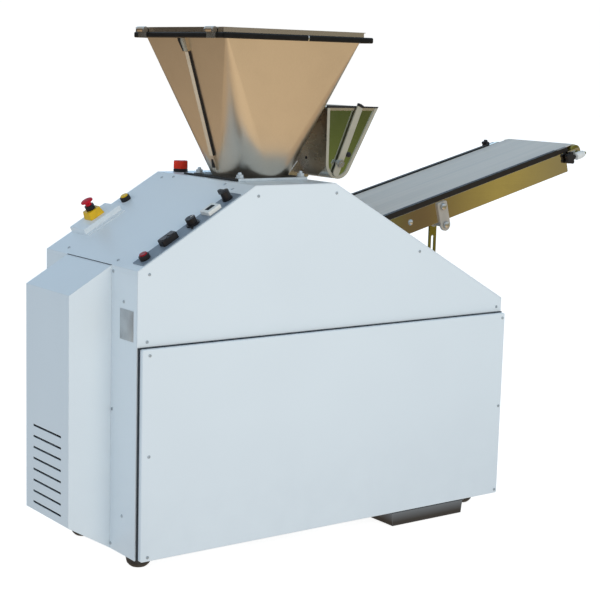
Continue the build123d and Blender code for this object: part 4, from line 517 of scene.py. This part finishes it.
def slab(bm, size, place, edge):
    """Block of the given millimetres, centred on the placing matrix, with rounded edges."""
    stretch = Matrix.Diagonal((*(s / 1000 for s in size), 1.0))
    made = bmesh.ops.create_cube(bm, size=1.0, matrix=place @ stretch)
    edges = list({e for v in made["verts"] for e in v.link_edges})
    bmesh.ops.bevel(bm, geom=edges, offset=edge / 1000, offset_type="OFFSET", affect="EDGES", segments=3,
                    profile=0.5, material=-1)


def cut_plate(bm, outline, place, thick):
    """Flat plate: an outline of (x, y) millimetres on the placing matrix, made thick along its Z."""
    corners = [bm.verts.new((x / 1000, y / 1000, 0)) for x, y in outline]
    raised = bmesh.ops.extrude_face_region(bm, geom=[bm.faces.new(corners)])["geom"]
    tops = [v for v in raised if isinstance(v, bmesh.types.BMVert)]
    bmesh.ops.translate(bm, vec=(0, 0, thick / 1000), verts=tops)
    bmesh.ops.transform(bm, matrix=place, verts=corners + tops)


def screw_profile(scale=1.0):
    """Pan head with a round recess, from its middle to its rim."""
    s = bpy.context.scene.divider_sizes
    r = s.screw_radius * 1000 * scale
    h = s.screw_height * 1000 * scale
    return [(0, h * 0.45), (r * 0.36, h * 0.45), (r * 0.42, h), (r * 0.72, h * 0.86), (r * 0.95, h * 0.42),
            (r, 0.0), (r, -0.3)]


# Operators

class DIVIDER_OT_finishes(bpy.types.Operator):
    """Give every sheet, casting and moulding its finish"""
    bl_idname = "divider.finishes"
    bl_label = "Finishes"

    def execute(self, context):
        materials = palette()
        for finish, nodes in node_finish.items():
            for node in nodes:
                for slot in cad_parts[node].material_slots:
                    slot.material = materials[finish]
        return {"FINISHED"}


class DIVIDER_OT_panel_screws(bpy.types.Operator):
    """Screws that hold the sheets to the frame"""
    bl_idname = "divider.panel_screws"
    bl_label = "Panel screws"

    def execute(self, context):
        # Places on each sheet: (x, z) on the front and back, (y, z) on the ends, (along, y) on the slope.
        door = [(28, 610), (28, 338), (27, 62), (1290, 611), (1290, 332), (1290, 62)]
        upper = [(35, 821), (30, 643), (374, 1015), (641, 1016), (958, 834), (1280, 644)]
        left = [(128, 816), (71, 742), (130, 441), (72, 157), (132, 65), (450, 742), (450, 441), (450, 157)]
        slope = [(25, 422), (23, 138), (397, 457), (408, 407), (408, 133), (392, 74)]
        rear = [(30, 643), (30, 330), (30, 70), (650, 643), (650, 70), (1270, 640), (1270, 330), (1270, 70),
                (374, 1015), (641, 1016), (35, 810), (958, 820)]
        right = [(40, 640), (260, 640), (477, 640), (40, 330), (477, 330), (40, 70), (260, 70), (477, 70)]
        places = [front_facing(at(x, door_face, z)) for x, z in door]
        places += [front_facing(at(x, 0, z)) for x, z in upper]
        places += [facing(at(0, y, z), (-1, 0, 0)) for y, z in left]
        places += [facing(on_slope(along, y), off_slope) for along, y in slope]
        places += [facing(at(x, cabinet_depth, z), (0, 1, 0), to_right) for x, z in rear]
        places += [facing(at(cabinet_length, y, z), (1, 0, 0)) for y, z in right]
        bm = bmesh.new()
        for place in places:
            turned(bm, screw_profile(), place, 16)
        finish_piece("panel_screws", bm, "grey zinc screws", "cabinet")
        return {"FINISHED"}


class DIVIDER_OT_door_seal(bpy.types.Operator):
    """Dark strips in the gaps along the front door's top and left edges, painted as the shade in those
    gaps, and a dark seam line along the motor cover
    """
    bl_idname = "divider.door_seal"
    bl_label = "Gap shade and seam"

    def execute(self, context):
        low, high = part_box("front_door")
        wide = context.scene.divider_sizes.seal * 1000
        deep, edge = 6, 0.8
        x0, x1 = (low.x - corner.x) * 1000, cabinet_length
        z0, z1 = low.z * 1000, high.z * 1000
        bm = bmesh.new()
        # The strips sit in the door's gap only where shade falls: painted shade.
        slab(bm, (x1 - x0 + wide, deep, wide), level((x0 - wide + x1) / 2, -deep / 2, z1 + wide / 2), edge)
        slab(bm, (wide, deep, z1 - z0), level(x0 - wide / 2, -deep / 2, (z0 + z1) / 2), edge)
        finish_piece("door_seal", bm, "blue-black seal", "cabinet")
        bm = bmesh.new()
        cover_line = (2.2, 250, 1.4)
        slab(bm, cover_line, level(-0.9, 262.5, 831.5), 0.4)
        finish_piece("cover_seal", bm, "blue-black seal", "cabinet")
        return {"FINISHED"}


class DIVIDER_OT_blank_plate(bpy.types.Operator):
    """Blank plate with rivets on the left end"""
    bl_idname = "divider.blank_plate"
    bl_label = "Blank plate"

    def execute(self, context):
        s = context.scene.divider_sizes
        wide, tall, thick = s.plate_width * 1000, s.plate_height * 1000, 1.0
        y, z, inset = 55.0, 682.0, 6
        rivet = [(0, 1.2), (1.2, 1.0), (2.2, 0.4), (2.4, -0.2)]
        bm = bmesh.new()
        slab(bm, (thick, wide, tall), level(-thick / 2, y, z), 0.3)
        for dy in (-1, 1):
            for dz in (-1, 1):
                point = at(-thick, y + dy * (wide / 2 - inset), z + dz * (tall / 2 - inset))
                turned(bm, rivet, facing(point, (-1, 0, 0)), 14)
        finish_piece("blank_plate", bm, "anodised blank plate", "cabinet")
        return {"FINISHED"}


class DIVIDER_OT_lever_caps(bpy.types.Operator):
    """Black cap on the duster lever's end, nut on its pivot and black cap on its stop"""
    bl_idname = "divider.lever_caps"
    bl_label = "Lever caps"

    def execute(self, context):
        up = Vector((math.sin(lever_lean), 0, math.cos(lever_lean)))
        length = context.scene.divider_sizes.cap_length * 1000
        lever_y, lever_end = 109.2, 185
        cap = facing(at(duster_x, lever_y, duster_z) + up * (lever_end - length / 2) / 1000, up)
        bm = bmesh.new()
        slab(bm, (8.0, 22, length), cap, 2.0)
        finish_piece("lever_cap", bm, "black plastic", "duster_agitator")
        bm = bmesh.new()
        nut = front_facing(at(duster_x, 106.7, duster_z))
        washer = [(0, 1.0), (9.6, 1.0), (10.2, 2.2), (11.4, 2.0), (12.0, 0.9), (12.0, -0.2)]
        hexagon = [(0, 9.5), (4.0, 9.5), (4.6, 8.8), (4.6, 7.6), (7.6, 7.6), (8.6, 6.6), (8.6, 1.5)]
        turned(bm, washer, nut, 28)
        turned(bm, hexagon, nut, 6)
        finish_piece("lever_nut", bm, "bright zinc plate", "duster_agitator")
        bm = bmesh.new()
        stop = front_facing(at(762, 106, 1115))
        turned(bm, [(0, 5.0), (4.5, 4.6), (7.4, 2.6), (8.0, 0.0), (7.6, -6.0), (6.1, -6.6)], stop, 24)
        finish_piece("stop_cap", bm, "black plastic", "cabinet")
        return {"FINISHED"}


class DIVIDER_OT_duster_edges(bpy.types.Operator):
    """Pale band down the flour duster's front rim as a painted highlight, black band along its top as
    painted shade inside the trough, and a plug in its wall
    """
    bl_idname = "divider.duster_edges"
    bl_label = "Duster edges"

    def execute(self, context):
        bm = bmesh.new()
        # Pale band round the end plate's rim: a painted highlight on the lit rim.
        cut_plate(bm, self.rim_outline(), front_facing(at(0, 115, 0)), 1.0)
        finish_piece("duster_rim_highlight", bm, "satin lever steel", "cabinet")
        bm = bmesh.new()
        # Black bands along the end plates' top edges: painted shade inside the trough.
        edging = [(686.4, 1249.4), (872.6, 1249.4), (874.4, 1253.2), (686.4, 1257.4)]
        for y in (118.2, 406.2):
            cut_plate(bm, edging, front_facing(at(0, y, 0)), 4.4)
        plug = facing(at(687, 212, 1101), (-1, 0, 0))
        turned(bm, [(0, 1.6), (3.4, 1.4), (4.6, 0.6), (5.0, -0.4)], plug, 18)
        finish_piece("duster_top_shade_and_plug", bm, "black rubber", "cabinet")
        return {"FINISHED"}

    def rim_outline(self):
        """U of the trough's end, upright on the left and leaning on the right, as a band round the axis."""
        top, lean = 1249, math.radians(29)
        outer, inner = 45.4, 36.0
        sweep, steps = 151, 14
        turns = [math.radians(180 + sweep * i / steps) for i in range(steps + 1)]
        x, z = duster_x, duster_z
        outline = [(x - outer, top)]
        outline += [(x + outer * math.cos(a), z + outer * math.sin(a)) for a in turns]
        for r in (outer, inner):
            foot = z - r * math.sin(lean)
            outline.append((x + r * math.cos(lean) + (top - foot) * math.tan(lean), top))
        outline += [(x + inner * math.cos(a), z + inner * math.sin(a)) for a in reversed(turns)]
        outline.append((x - inner, top))
        return outline


class DIVIDER_OT_hopper_fittings(bpy.types.Operator):
    """Hopper's left strip with its clips, joiner of the rim trim, and caps of the base flange, with a
    painted shadow strip at the flange's left edge and a painted highlight along its front edge
    """
    bl_idname = "divider.hopper_fittings"
    bl_label = "Hopper fittings"

    def execute(self, context):
        self.left_strip()
        bm = bmesh.new()
        band = [(7.1, 1438.2), (7.1, 1445.8), (8.3, 1448.9), (11.3, 1450.2), (12.5, 1450.2), (12.5, 1433.7),
                (11.3, 1433.7), (8.3, 1435.1)]
        cut_plate(bm, band, facing(at(533, 0, 0), (1, 0, 0)), 3.4)
        finish_piece("trim_joiner", bm, "bright zinc plate", "cabinet")
        # Black strip along the flange's left edge: a painted shadow of that edge.
        bm = bmesh.new()
        slab(bm, (6.5, 278, 6), level(386.7, 263, 1047), 1.8)
        finish_piece("flange_edge_shadow", bm, "black rubber", "cabinet")
        # The pale strip along the flange's front edge is a painted highlight; the domes are caps on its
        # studs.
        bm = bmesh.new()
        slab(bm, (238, 1.6, 7.6), level(509, 123.6, 1048), 0.6)
        stud = [(0, 7), (3.2, 6.6), (5.2, 4.8), (5.6, 3.4), (5.6, -0.3)]
        for x in (404, 614):
            for y in (138, 348):
                turned(bm, stud, level(x, y, 1062), 20)
        finish_piece("flange_caps_and_lit_edge", bm, "pale zinc caps", "cabinet")
        return {"FINISHED"}

    def left_strip(self):
        """Strip down the left wall, pale as a painted highlight, with a black band beside it as its painted
        shadow, and the clips at its two ends: the top clip with a black layer as painted shade on its left,
        and a dark foot.
        """
        high, low, lean = 1400.0, 1111.0, 0.305
        wall_x, wall_top = 285, 1439
        y0, edge_y, y1 = 233, 234.6, 251.4
        fall = (high - low) * math.hypot(1, lean)
        wall = facing(at(wall_x + lean * (wall_top - high), 0, high), (-1, 0, -lean))
        bm = bmesh.new()
        # Pale face of the strip: a painted highlight of a round bar.
        cut_plate(bm, [(edge_y, 0), (y1, 0), (y1, fall), (edge_y, fall)], wall, 9.6)
        finish_piece("strip_lit_face", bm, "pale strip steel", "cabinet")
        bm = bmesh.new()
        strap = [(284, 1398), (293, 1398), (291, 1433.8), (270, 1433.8), (271.5, 1426)]
        cut_plate(bm, strap, front_facing(at(0, 250, 0)), 13)
        finish_piece("strip_clip", bm, "satin lever steel", "cabinet")
        bm = bmesh.new()
        # Black band beside the pale face and a black layer beside the top clip: painted shadow.
        cut_plate(bm, [(y0, 0), (edge_y, 0), (edge_y, fall), (y0, fall)], wall, 9.0)
        strap = [(282, 1398), (290, 1398), (288, 1433.8), (264, 1433.8), (266, 1426)]
        cut_plate(bm, strap, front_facing(at(0, 253, 0)), 3.2)
        foot = [(378, 1112), (382, 1110), (388, 1074), (383, 1074)]
        cut_plate(bm, foot, front_facing(at(0, 249, 0)), 9)
        finish_piece("strip_shade_and_foot", bm, "black rubber", "cabinet")


class DIVIDER_OT_tip_sleeve(bpy.types.Operator):
    """White sleeve with its plated rod end at the conveyor's tip, the rod end olive as a painted reflection
    """
    bl_idname = "divider.tip_sleeve"
    bl_label = "Tip sleeve"

    def execute(self, context):
        s = context.scene.divider_sizes
        r, long = s.sleeve_radius * 1000, s.sleeve_length * 1000
        bore, rod_radius, rod_end = 5.5, 5.2, long + 8.5
        place = facing(on_belt(1066, 79, -34), up_belt)
        bm = bmesh.new()
        turned(bm, [(0, 0), (r - 1.5, 0), (r, 1.5), (r, long * 0.55), (r - 2.5, long - 2), (r - 4.5, long),
                    (bore, long), (bore, long - 3), (0, long - 3)], place, 28)
        finish_piece("tip_sleeve", bm, "white plastic", "conveyor")
        bm = bmesh.new()
        turned(bm, [(0, long - 4), (rod_radius, long - 4), (rod_radius, rod_end - 1.5),
                    (rod_radius - 1, rod_end), (0, rod_end)], place, 20)
        finish_piece("sleeve_rod", bm, "olive passivated zinc", "conveyor")
        return {"FINISHED"}


class DIVIDER_OT_strip_tip(bpy.types.Operator):
    """Dark cover with a grey top over the block at the upper end of the near guide strip"""
    bl_idname = "divider.strip_tip"
    bl_label = "Strip tip"

    def execute(self, context):
        middle, strip_y = 1023.5, conveyor_front + 7
        bm = bmesh.new()
        slab(bm, (46, 14.6, 14.5), facing(on_belt(middle, strip_y, -5.5), off_belt, up_belt), 1.0)
        finish_piece("strip_tip", bm, "dark guide plastic", "conveyor")
        bm = bmesh.new()
        slab(bm, (42, 11.5, 1.6), facing(on_belt(middle, strip_y, 2.2), off_belt, up_belt), 0.5)
        finish_piece("tip_plate", bm, "grey nylon plate", "conveyor")
        return {"FINISHED"}


class DIVIDER_OT_plate_bolts(bpy.types.Operator):
    """Bolts through the conveyor's side plates and its bracket"""
    bl_idname = "divider.plate_bolts"
    bl_label = "Plate bolts"

    def execute(self, context):
        along, drop = 357, -44
        dome = [(0, 6.0), (4.6, 5.4), (8.0, 3.2), (9.4, 0.6), (9.4, -0.3)]
        wide_dome = [(0, 8.6), (5.5, 8.2), (9.2, 7.0), (10.8, 4.6), (11.2, 0)]
        bm = bmesh.new()
        turned(bm, dome, front_facing(on_belt(along, conveyor_front, drop)), 24)
        turned(bm, dome, facing(on_belt(along, conveyor_back, drop), (0, 1, 0), to_right), 24)
        low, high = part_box("link_bracket")
        end_radius, face_y = 0.019, 0.086
        boss = Vector((high.x - end_radius, corner.y + face_y, low.z + end_radius))
        for rise in (0, 58):
            turned(bm, wide_dome, front_facing(boss + off_belt * rise / 1000), 24)
        finish_piece("plate_bolts", bm, "bright zinc plate", "conveyor")
        return {"FINISHED"}


class DIVIDER_OT_control_details(bpy.types.Operator):
    """Counter window, knob marks and scale ticks on the control strip"""
    bl_idname = "divider.control_details"
    bl_label = "Control details"

    def execute(self, context):
        strip_y, knob_along = 34, 218
        bm = bmesh.new()
        slab(bm, (26.0, 25.0, 1.2), off_strip(285, strip_y, 12.3), 0.3)
        finish_piece("counter_window", bm, "window plastic", "cabinet")
        bm = bmesh.new()
        ticks, first, step, reach = 11, -135, 27, 0.0205
        for i in range(ticks):
            spin = Matrix.Rotation(math.radians(first + step * i), 4, "Z")
            place = off_strip(knob_along, strip_y, 2.1) @ spin @ Matrix.Translation((reach, 0, 0))
            slab(bm, (4.0 if i % 5 else 6.0, 0.9, 0.5), place, 0.15)
        finish_piece("speed_ticks", bm, "black plastic", "cabinet")
        bm = bmesh.new()
        turned(bm, screw_profile(0.9), off_strip(201, 13.5, 2), 16)
        finish_piece("strip_screw", bm, "black plastic", "cabinet")
        bm = bmesh.new()
        slab(bm, (11.0, 1.8, 0.8), off_strip(knob_along + 7.5, strip_y, 23.2), 0.25)
        finish_piece("speed_pointer", bm, "white plastic", "speed_knob")
        return {"FINISHED"}


class DIVIDER_OT_lamp_lens(bpy.types.Operator):
    """Ribbed red lens of the lamp on its black collar"""
    bl_idname = "divider.lamp_lens"
    bl_label = "Lamp lens"

    def execute(self, context):
        low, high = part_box("beacon_lens")
        middle = (low + high) / 2
        r = context.scene.divider_sizes.lens_radius
        foot = low.z + 0.003
        taper, valley, rim = 0.985, 0.972, 0.0022
        bm = bmesh.new()
        place = Matrix.Translation((middle.x, middle.y, (foot + high.z) / 2))
        bmesh.ops.create_cone(bm, cap_ends=True, segments=lens_ribs * 2, radius1=r, radius2=r * taper,
                              depth=high.z - foot, matrix=place)
        valleys = [v for v in bm.verts if round(self.turn_of(v.co - middle) * lens_ribs / math.pi) % 2]
        bmesh.ops.scale(bm, vec=(valley, valley, 1.0), verts=valleys, space=Matrix.Translation(-middle))
        rims = [e for e in bm.edges if all(abs(v.co.z - high.z) < 1e-5 for v in e.verts)]
        bmesh.ops.bevel(bm, geom=rims, offset=rim, offset_type="OFFSET", affect="EDGES", segments=3,
                        profile=0.5, material=-1)
        piece = finish_piece("lamp_lens", bm, "red lamp lens", "cabinet")
        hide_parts("beacon_lens")
        bm = bmesh.new()
        base = Matrix.Translation((middle.x, middle.y, roof))
        inner, outer, tall = r * 1000 - 1.5, r * 1000 + 0.4, 9.0
        turned(bm, [(inner, -0.3), (outer, -0.3), (outer, tall - 0.8), (outer - 0.8, tall), (inner, tall)],
               base, 40)
        finish_piece("lamp_collar", bm, "black plastic", "cabinet")
        return {"FINISHED"}

    def turn_of(self, reach):
        """Angle of a point round the lamp's axis."""
        return math.atan2(reach.y, reach.x) + 2 * math.pi


class DIVIDER_OT_stage(bpy.types.Operator):
    """Pale floor, white surroundings, soft light and the camera"""
    bl_idname = "divider.stage"
    bl_label = "Studio and camera"

    def execute(self, context):
        scene = context.scene
        scene.view_settings.view_transform = "Standard"
        self.floor(scene)
        self.surroundings(scene)
        self.lamps(scene)
        self.camera(scene)
        return {"FINISHED"}

    def backdrop(self, scene, name, bm, material):
        """Floor or dome that the machine neither mirrors nor takes light from."""
        mesh = bpy.data.meshes.new(name)
        bm.to_mesh(mesh)
        bm.free()
        mesh.materials.append(material)
        thing = bpy.data.objects.new(name, mesh)
        scene.collection.objects.link(thing)
        thing.visible_glossy = False
        thing.visible_diffuse = False
        return thing

    def floor(self, scene):
        """Pale matte floor and a white dome that only the camera sees."""
        pale, shader = start_material("pale studio floor", {
            "Roughness": 0.9, "Specular IOR Level": 0.1, "Emission Strength": 0.90,
            "Emission Color": (1.0, 1.0, 1.0, 1.0)})
        place = add_node(pale, "ShaderNodeTexCoord")
        cloud = add_node(pale, "ShaderNodeTexNoise", {"Scale": per_metre(900)},
                         {"Vector": (place, "Object")})
        tone = add_node(pale, "ShaderNodeMix", {
            "data_type": "RGBA", 6: linear("#BFBDBA"), 7: linear("#B9B7B4")}, {0: (cloud, 0)})
        feed(pale, shader, {"Base Color": (tone, 2)})
        bm = bmesh.new()
        bmesh.ops.create_circle(bm, cap_ends=True, radius=40.0, segments=96)
        floor = self.backdrop(scene, "studio_floor", bm, pale)
        white, shader = start_material("white surroundings", {
            "Emission Strength": 1.0, "Emission Color": (1.0, 1.0, 1.0, 1.0), "Base Color": (0, 0, 0, 1)})
        bm = bmesh.new()
        bmesh.ops.create_uvsphere(bm, u_segments=48, v_segments=24, radius=60.0)
        dome = self.backdrop(scene, "studio_dome", bm, white)
        dome.visible_shadow = False
        dome.visible_transmission = False

    def surroundings(self, scene):
        """Soft light from all round, and coloured cards that only bright metal mirrors."""
        world = bpy.data.worlds.new("studio surroundings")
        world.use_nodes = True
        scene.world = world
        place = add_node(world, "ShaderNodeTexCoord")
        axes = add_node(world, "ShaderNodeSeparateXYZ", None, {0: (place, "Generated")})
        height = add_node(world, "ShaderNodeMapRange", {1: 0.0, 2: 0.75, 3: 0.0, 4: 1.0}, {0: (axes, 2)})
        soft = self.soft_light(world, axes, height)
        mirrored = self.mirrored(world, place, axes, height)
        path = add_node(world, "ShaderNodeLightPath")
        final = add_node(world, "ShaderNodeMix", {"data_type": "RGBA"},
                         {0: (path, "Is Glossy Ray"), 6: (soft, 2), 7: (mirrored, 2)})
        back = world.node_tree.nodes["Background"]
        world.node_tree.links.new(final.outputs[2], back.inputs["Color"])

    def soft_light(self, world, axes, height):
        """Even light: grey below, pale blue at eye height, deeper blue overhead, paler on the left."""
        lift = add_node(world, "ShaderNodeMapRange", {1: -1.0, 2: 0.0, 3: 0.0, 4: 1.0}, {0: (axes, 2)})
        under = add_node(world, "ShaderNodeMix", {
            "data_type": "RGBA", 6: (0.50, 0.54, 0.58, 1), 7: (0.67, 0.75, 0.835, 1)}, {0: (lift, 0)})
        soft = add_node(world, "ShaderNodeMix", {
            "data_type": "RGBA", 7: (0.22, 0.35, 0.485, 1)}, {0: (height, 0), 6: (under, 2)})
        left = add_node(world, "ShaderNodeMapRange", {1: 0.0, 2: -1.0, 3: 0.0, 4: 0.5}, {0: (axes, 0)})
        return add_node(world, "ShaderNodeMix", {
            "data_type": "RGBA", 7: (0.76, 0.82, 0.86, 1)}, {0: (left, 0), 6: (soft, 2)})

    def mirrored(self, world, place, axes, height):
        """What bright metal mirrors: a tan card below, darker cards at eye height, pale or blue above."""
        side = add_node(world, "ShaderNodeVectorMath", {"operation": "DOT_PRODUCT", 1: (0.6, -0.8, 0.0)},
                        {0: (place, "Generated")})
        front = add_node(world, "ShaderNodeMapRange", {1: -0.5, 2: 0.5, 3: 0.0, 4: 1.0},
                         {0: (side, "Value")})
        tan = add_node(world, "ShaderNodeMix", {
            "data_type": "RGBA", 6: (0.57, 0.43, 0.29, 1), 7: (0.87, 0.68, 0.465, 1)}, {0: (front, 0)})
        right = add_node(world, "ShaderNodeMapRange", {1: 0.595, 2: 0.68, 3: 0.0, 4: 1.0}, {0: (axes, 0)})
        below = add_node(world, "ShaderNodeMix", {
            "data_type": "RGBA", 7: (0.58, 0.43, 0.29, 1)}, {0: (right, 0), 6: (tan, 2)})
        fade = add_node(world, "ShaderNodeMapRange", {1: -0.03, 2: -0.085, 3: 0.0, 4: 1.0}, {0: (axes, 2)})
        green = add_node(world, "ShaderNodeMix", {
            "data_type": "RGBA", 6: (0.062, 0.085, 0.02, 1), 7: (0.20, 0.235, 0.062, 1)}, {0: (fade, 0)})
        start = add_node(world, "ShaderNodeMapRange", {1: 0.565, 2: 0.60, 3: 0.0, 4: 1.0}, {0: (axes, 0)})
        cards = add_node(world, "ShaderNodeMix", {
            "data_type": "RGBA", 6: (0.22, 0.18, 0.12, 1)}, {0: (start, 0), 7: (green, 2)})
        # Each card begins and is full at these shares of x, from left to right past the green one.
        brown, gold, dim = (0.17, 0.122, 0.065, 1), (0.46, 0.38, 0.115, 1), (0.31, 0.27, 0.14, 1)
        for begins, full, colour in ((0.625, 0.645, brown), (0.655, 0.69, gold), (0.695, 0.72, dim)):
            share = add_node(world, "ShaderNodeMapRange", {1: begins, 2: full, 3: 0.0, 4: 1.0},
                             {0: (axes, 0)})
            cards = add_node(world, "ShaderNodeMix", {"data_type": "RGBA", 7: colour},
                             {0: (share, 0), 6: (cards, 2)})
        far = add_node(world, "ShaderNodeMix", {
            "data_type": "RGBA", 6: (0.075, 0.062, 0.045, 1)}, {0: (front, 0), 7: (cards, 2)})
        edge = add_node(world, "ShaderNodeMapRange", {1: -0.34, 2: -0.16, 3: 0.0, 4: 1.0}, {0: (axes, 2)})
        land = add_node(world, "ShaderNodeMix", {"data_type": "RGBA"},
                        {0: (edge, 0), 6: (below, 2), 7: (far, 2)})
        sky = add_node(world, "ShaderNodeMix", {
            "data_type": "RGBA", 6: (0.74, 0.77, 0.80, 1), 7: (0.42, 0.56, 0.72, 1)}, {0: (height, 0)})
        ahead = add_node(world, "ShaderNodeVectorMath", {"operation": "DOT_PRODUCT", 1: (0.59, 0.81, 0.0)},
                         {0: (place, "Generated")})
        # The sky begins lower towards the back right and the front right.
        clear = add_node(world, "ShaderNodeMapRange", {1: 0.5, 2: 0.9, 3: 0.0, 4: 0.15},
                         {0: (ahead, "Value")})
        opened = add_node(world, "ShaderNodeMapRange", {1: 0.75, 2: 0.95, 3: 0.0, 4: 0.08},
                          {0: (side, "Value")})
        lifted = add_node(world, "ShaderNodeMath", {"operation": "ADD"}, {0: (clear, 0), 1: (opened, 0)})
        rise = add_node(world, "ShaderNodeMath", {"operation": "ADD"}, {0: (axes, 2), 1: (lifted, 0)})
        above = add_node(world, "ShaderNodeMapRange", {1: 0.08, 2: 0.20, 3: 0.0, 4: 1.0}, {0: (rise, 0)})
        blue_way = add_node(world, "ShaderNodeMapRange", {1: 0.8, 2: 0.97, 3: 0.0, 4: 1.0},
                            {0: (ahead, "Value")})
        blue_sky = add_node(world, "ShaderNodeMix", {
            "data_type": "RGBA", 7: (0.95, 1.40, 1.85, 1)}, {0: (blue_way, 0), 6: (sky, 2)})
        return add_node(world, "ShaderNodeMix", {"data_type": "RGBA"},
                        {0: (above, 0), 6: (land, 2), 7: (blue_sky, 2)})

    def lamps(self, scene):
        """One large soft light from the front."""
        light = bpy.data.lights.new("key_light", "AREA")
        light.shape = "DISK"
        light.size = 2.6
        light.energy = 45.0
        light.color = (1.0, 0.88, 0.705)
        lamp = bpy.data.objects.new("key_light", light)
        scene.collection.objects.link(lamp)
        toward, away = Vector((-0.05, -0.93, 0.36)), 3.5
        lamp.matrix_world = facing(at(450, 0, 800) + toward * away, toward, to_right)
        lamp.visible_glossy = False

    def camera(self, scene):
        """Camera to the left of the machine's front, above its middle and looking a little down."""
        yaw, pitch, roll = math.radians(36.40), math.radians(8.99), math.radians(1.585)
        stand = at(-1940.3, -3341.1, 1375.9)
        ahead = Vector((math.sin(yaw) * math.cos(pitch), math.cos(yaw) * math.cos(pitch), -math.sin(pitch)))
        right = Vector((math.cos(yaw), -math.sin(yaw), 0))
        up = right.cross(ahead)
        level_right = right * math.cos(roll) + up * math.sin(roll)
        level_up = up * math.cos(roll) - right * math.sin(roll)
        turn = Matrix((level_right, level_up, -ahead)).transposed().to_4x4()
        lens = bpy.data.cameras.new("studio_camera")
        lens.sensor_width = 36.0
        lens.lens = 90.04
        lens.clip_end = 200.0
        camera = bpy.data.objects.new("studio_camera", lens)
        scene.collection.objects.link(camera)
        camera.matrix_world = Matrix.Translation(stand) @ turn
        scene.camera = camera


operators = (
    DIVIDER_OT_finishes,
    DIVIDER_OT_panel_screws,
    DIVIDER_OT_door_seal,
    DIVIDER_OT_blank_plate,
    DIVIDER_OT_lever_caps,
    DIVIDER_OT_duster_edges,
    DIVIDER_OT_hopper_fittings,
    DIVIDER_OT_tip_sleeve,
    DIVIDER_OT_strip_tip,
    DIVIDER_OT_plate_bolts,
    DIVIDER_OT_control_details,
    DIVIDER_OT_lamp_lens,
    DIVIDER_OT_stage,
)


class DIVIDER_PT_dressing(bpy.types.Panel):
    """Buttons for the machine's finishes and fittings"""
    bl_idname = "DIVIDER_PT_dressing"
    bl_label = "Dough Divider"
    bl_space_type = "VIEW_3D"
    bl_region_type = "UI"
    bl_category = "Dough Divider"

    def draw(self, context):
        for operator in operators:
            self.layout.operator(operator.bl_idname)
        for group in (context.scene.divider_sizes, context.scene.divider_colours):
            for name in group.__annotations__:
                self.layout.prop(group, name)


classes = (DividerColours, DividerSizes, *operators, DIVIDER_PT_dressing)


def register():
    """Adds the classes and their settings to the scene."""
    for cls in classes:
        bpy.utils.register_class(cls)
    bpy.types.Scene.divider_colours = bpy.props.PointerProperty(type=DividerColours)
    bpy.types.Scene.divider_sizes = bpy.props.PointerProperty(type=DividerSizes)


def unregister():
    """Takes the classes and their settings away again."""
    del bpy.types.Scene.divider_sizes
    del bpy.types.Scene.divider_colours
    for cls in reversed(classes):
        bpy.utils.unregister_class(cls)


def main():
    """Dresses the machine."""
    register()
    bpy.ops.divider.finishes()
    bpy.ops.divider.panel_screws()
    bpy.ops.divider.door_seal()
    bpy.ops.divider.blank_plate()
    bpy.ops.divider.lever_caps()
    bpy.ops.divider.duster_edges()
    bpy.ops.divider.hopper_fittings()
    bpy.ops.divider.tip_sleeve()
    bpy.ops.divider.strip_tip()
    bpy.ops.divider.plate_bolts()
    bpy.ops.divider.control_details()
    bpy.ops.divider.lamp_lens()
    bpy.ops.divider.stage()


if __name__ == "__main__":
    main()
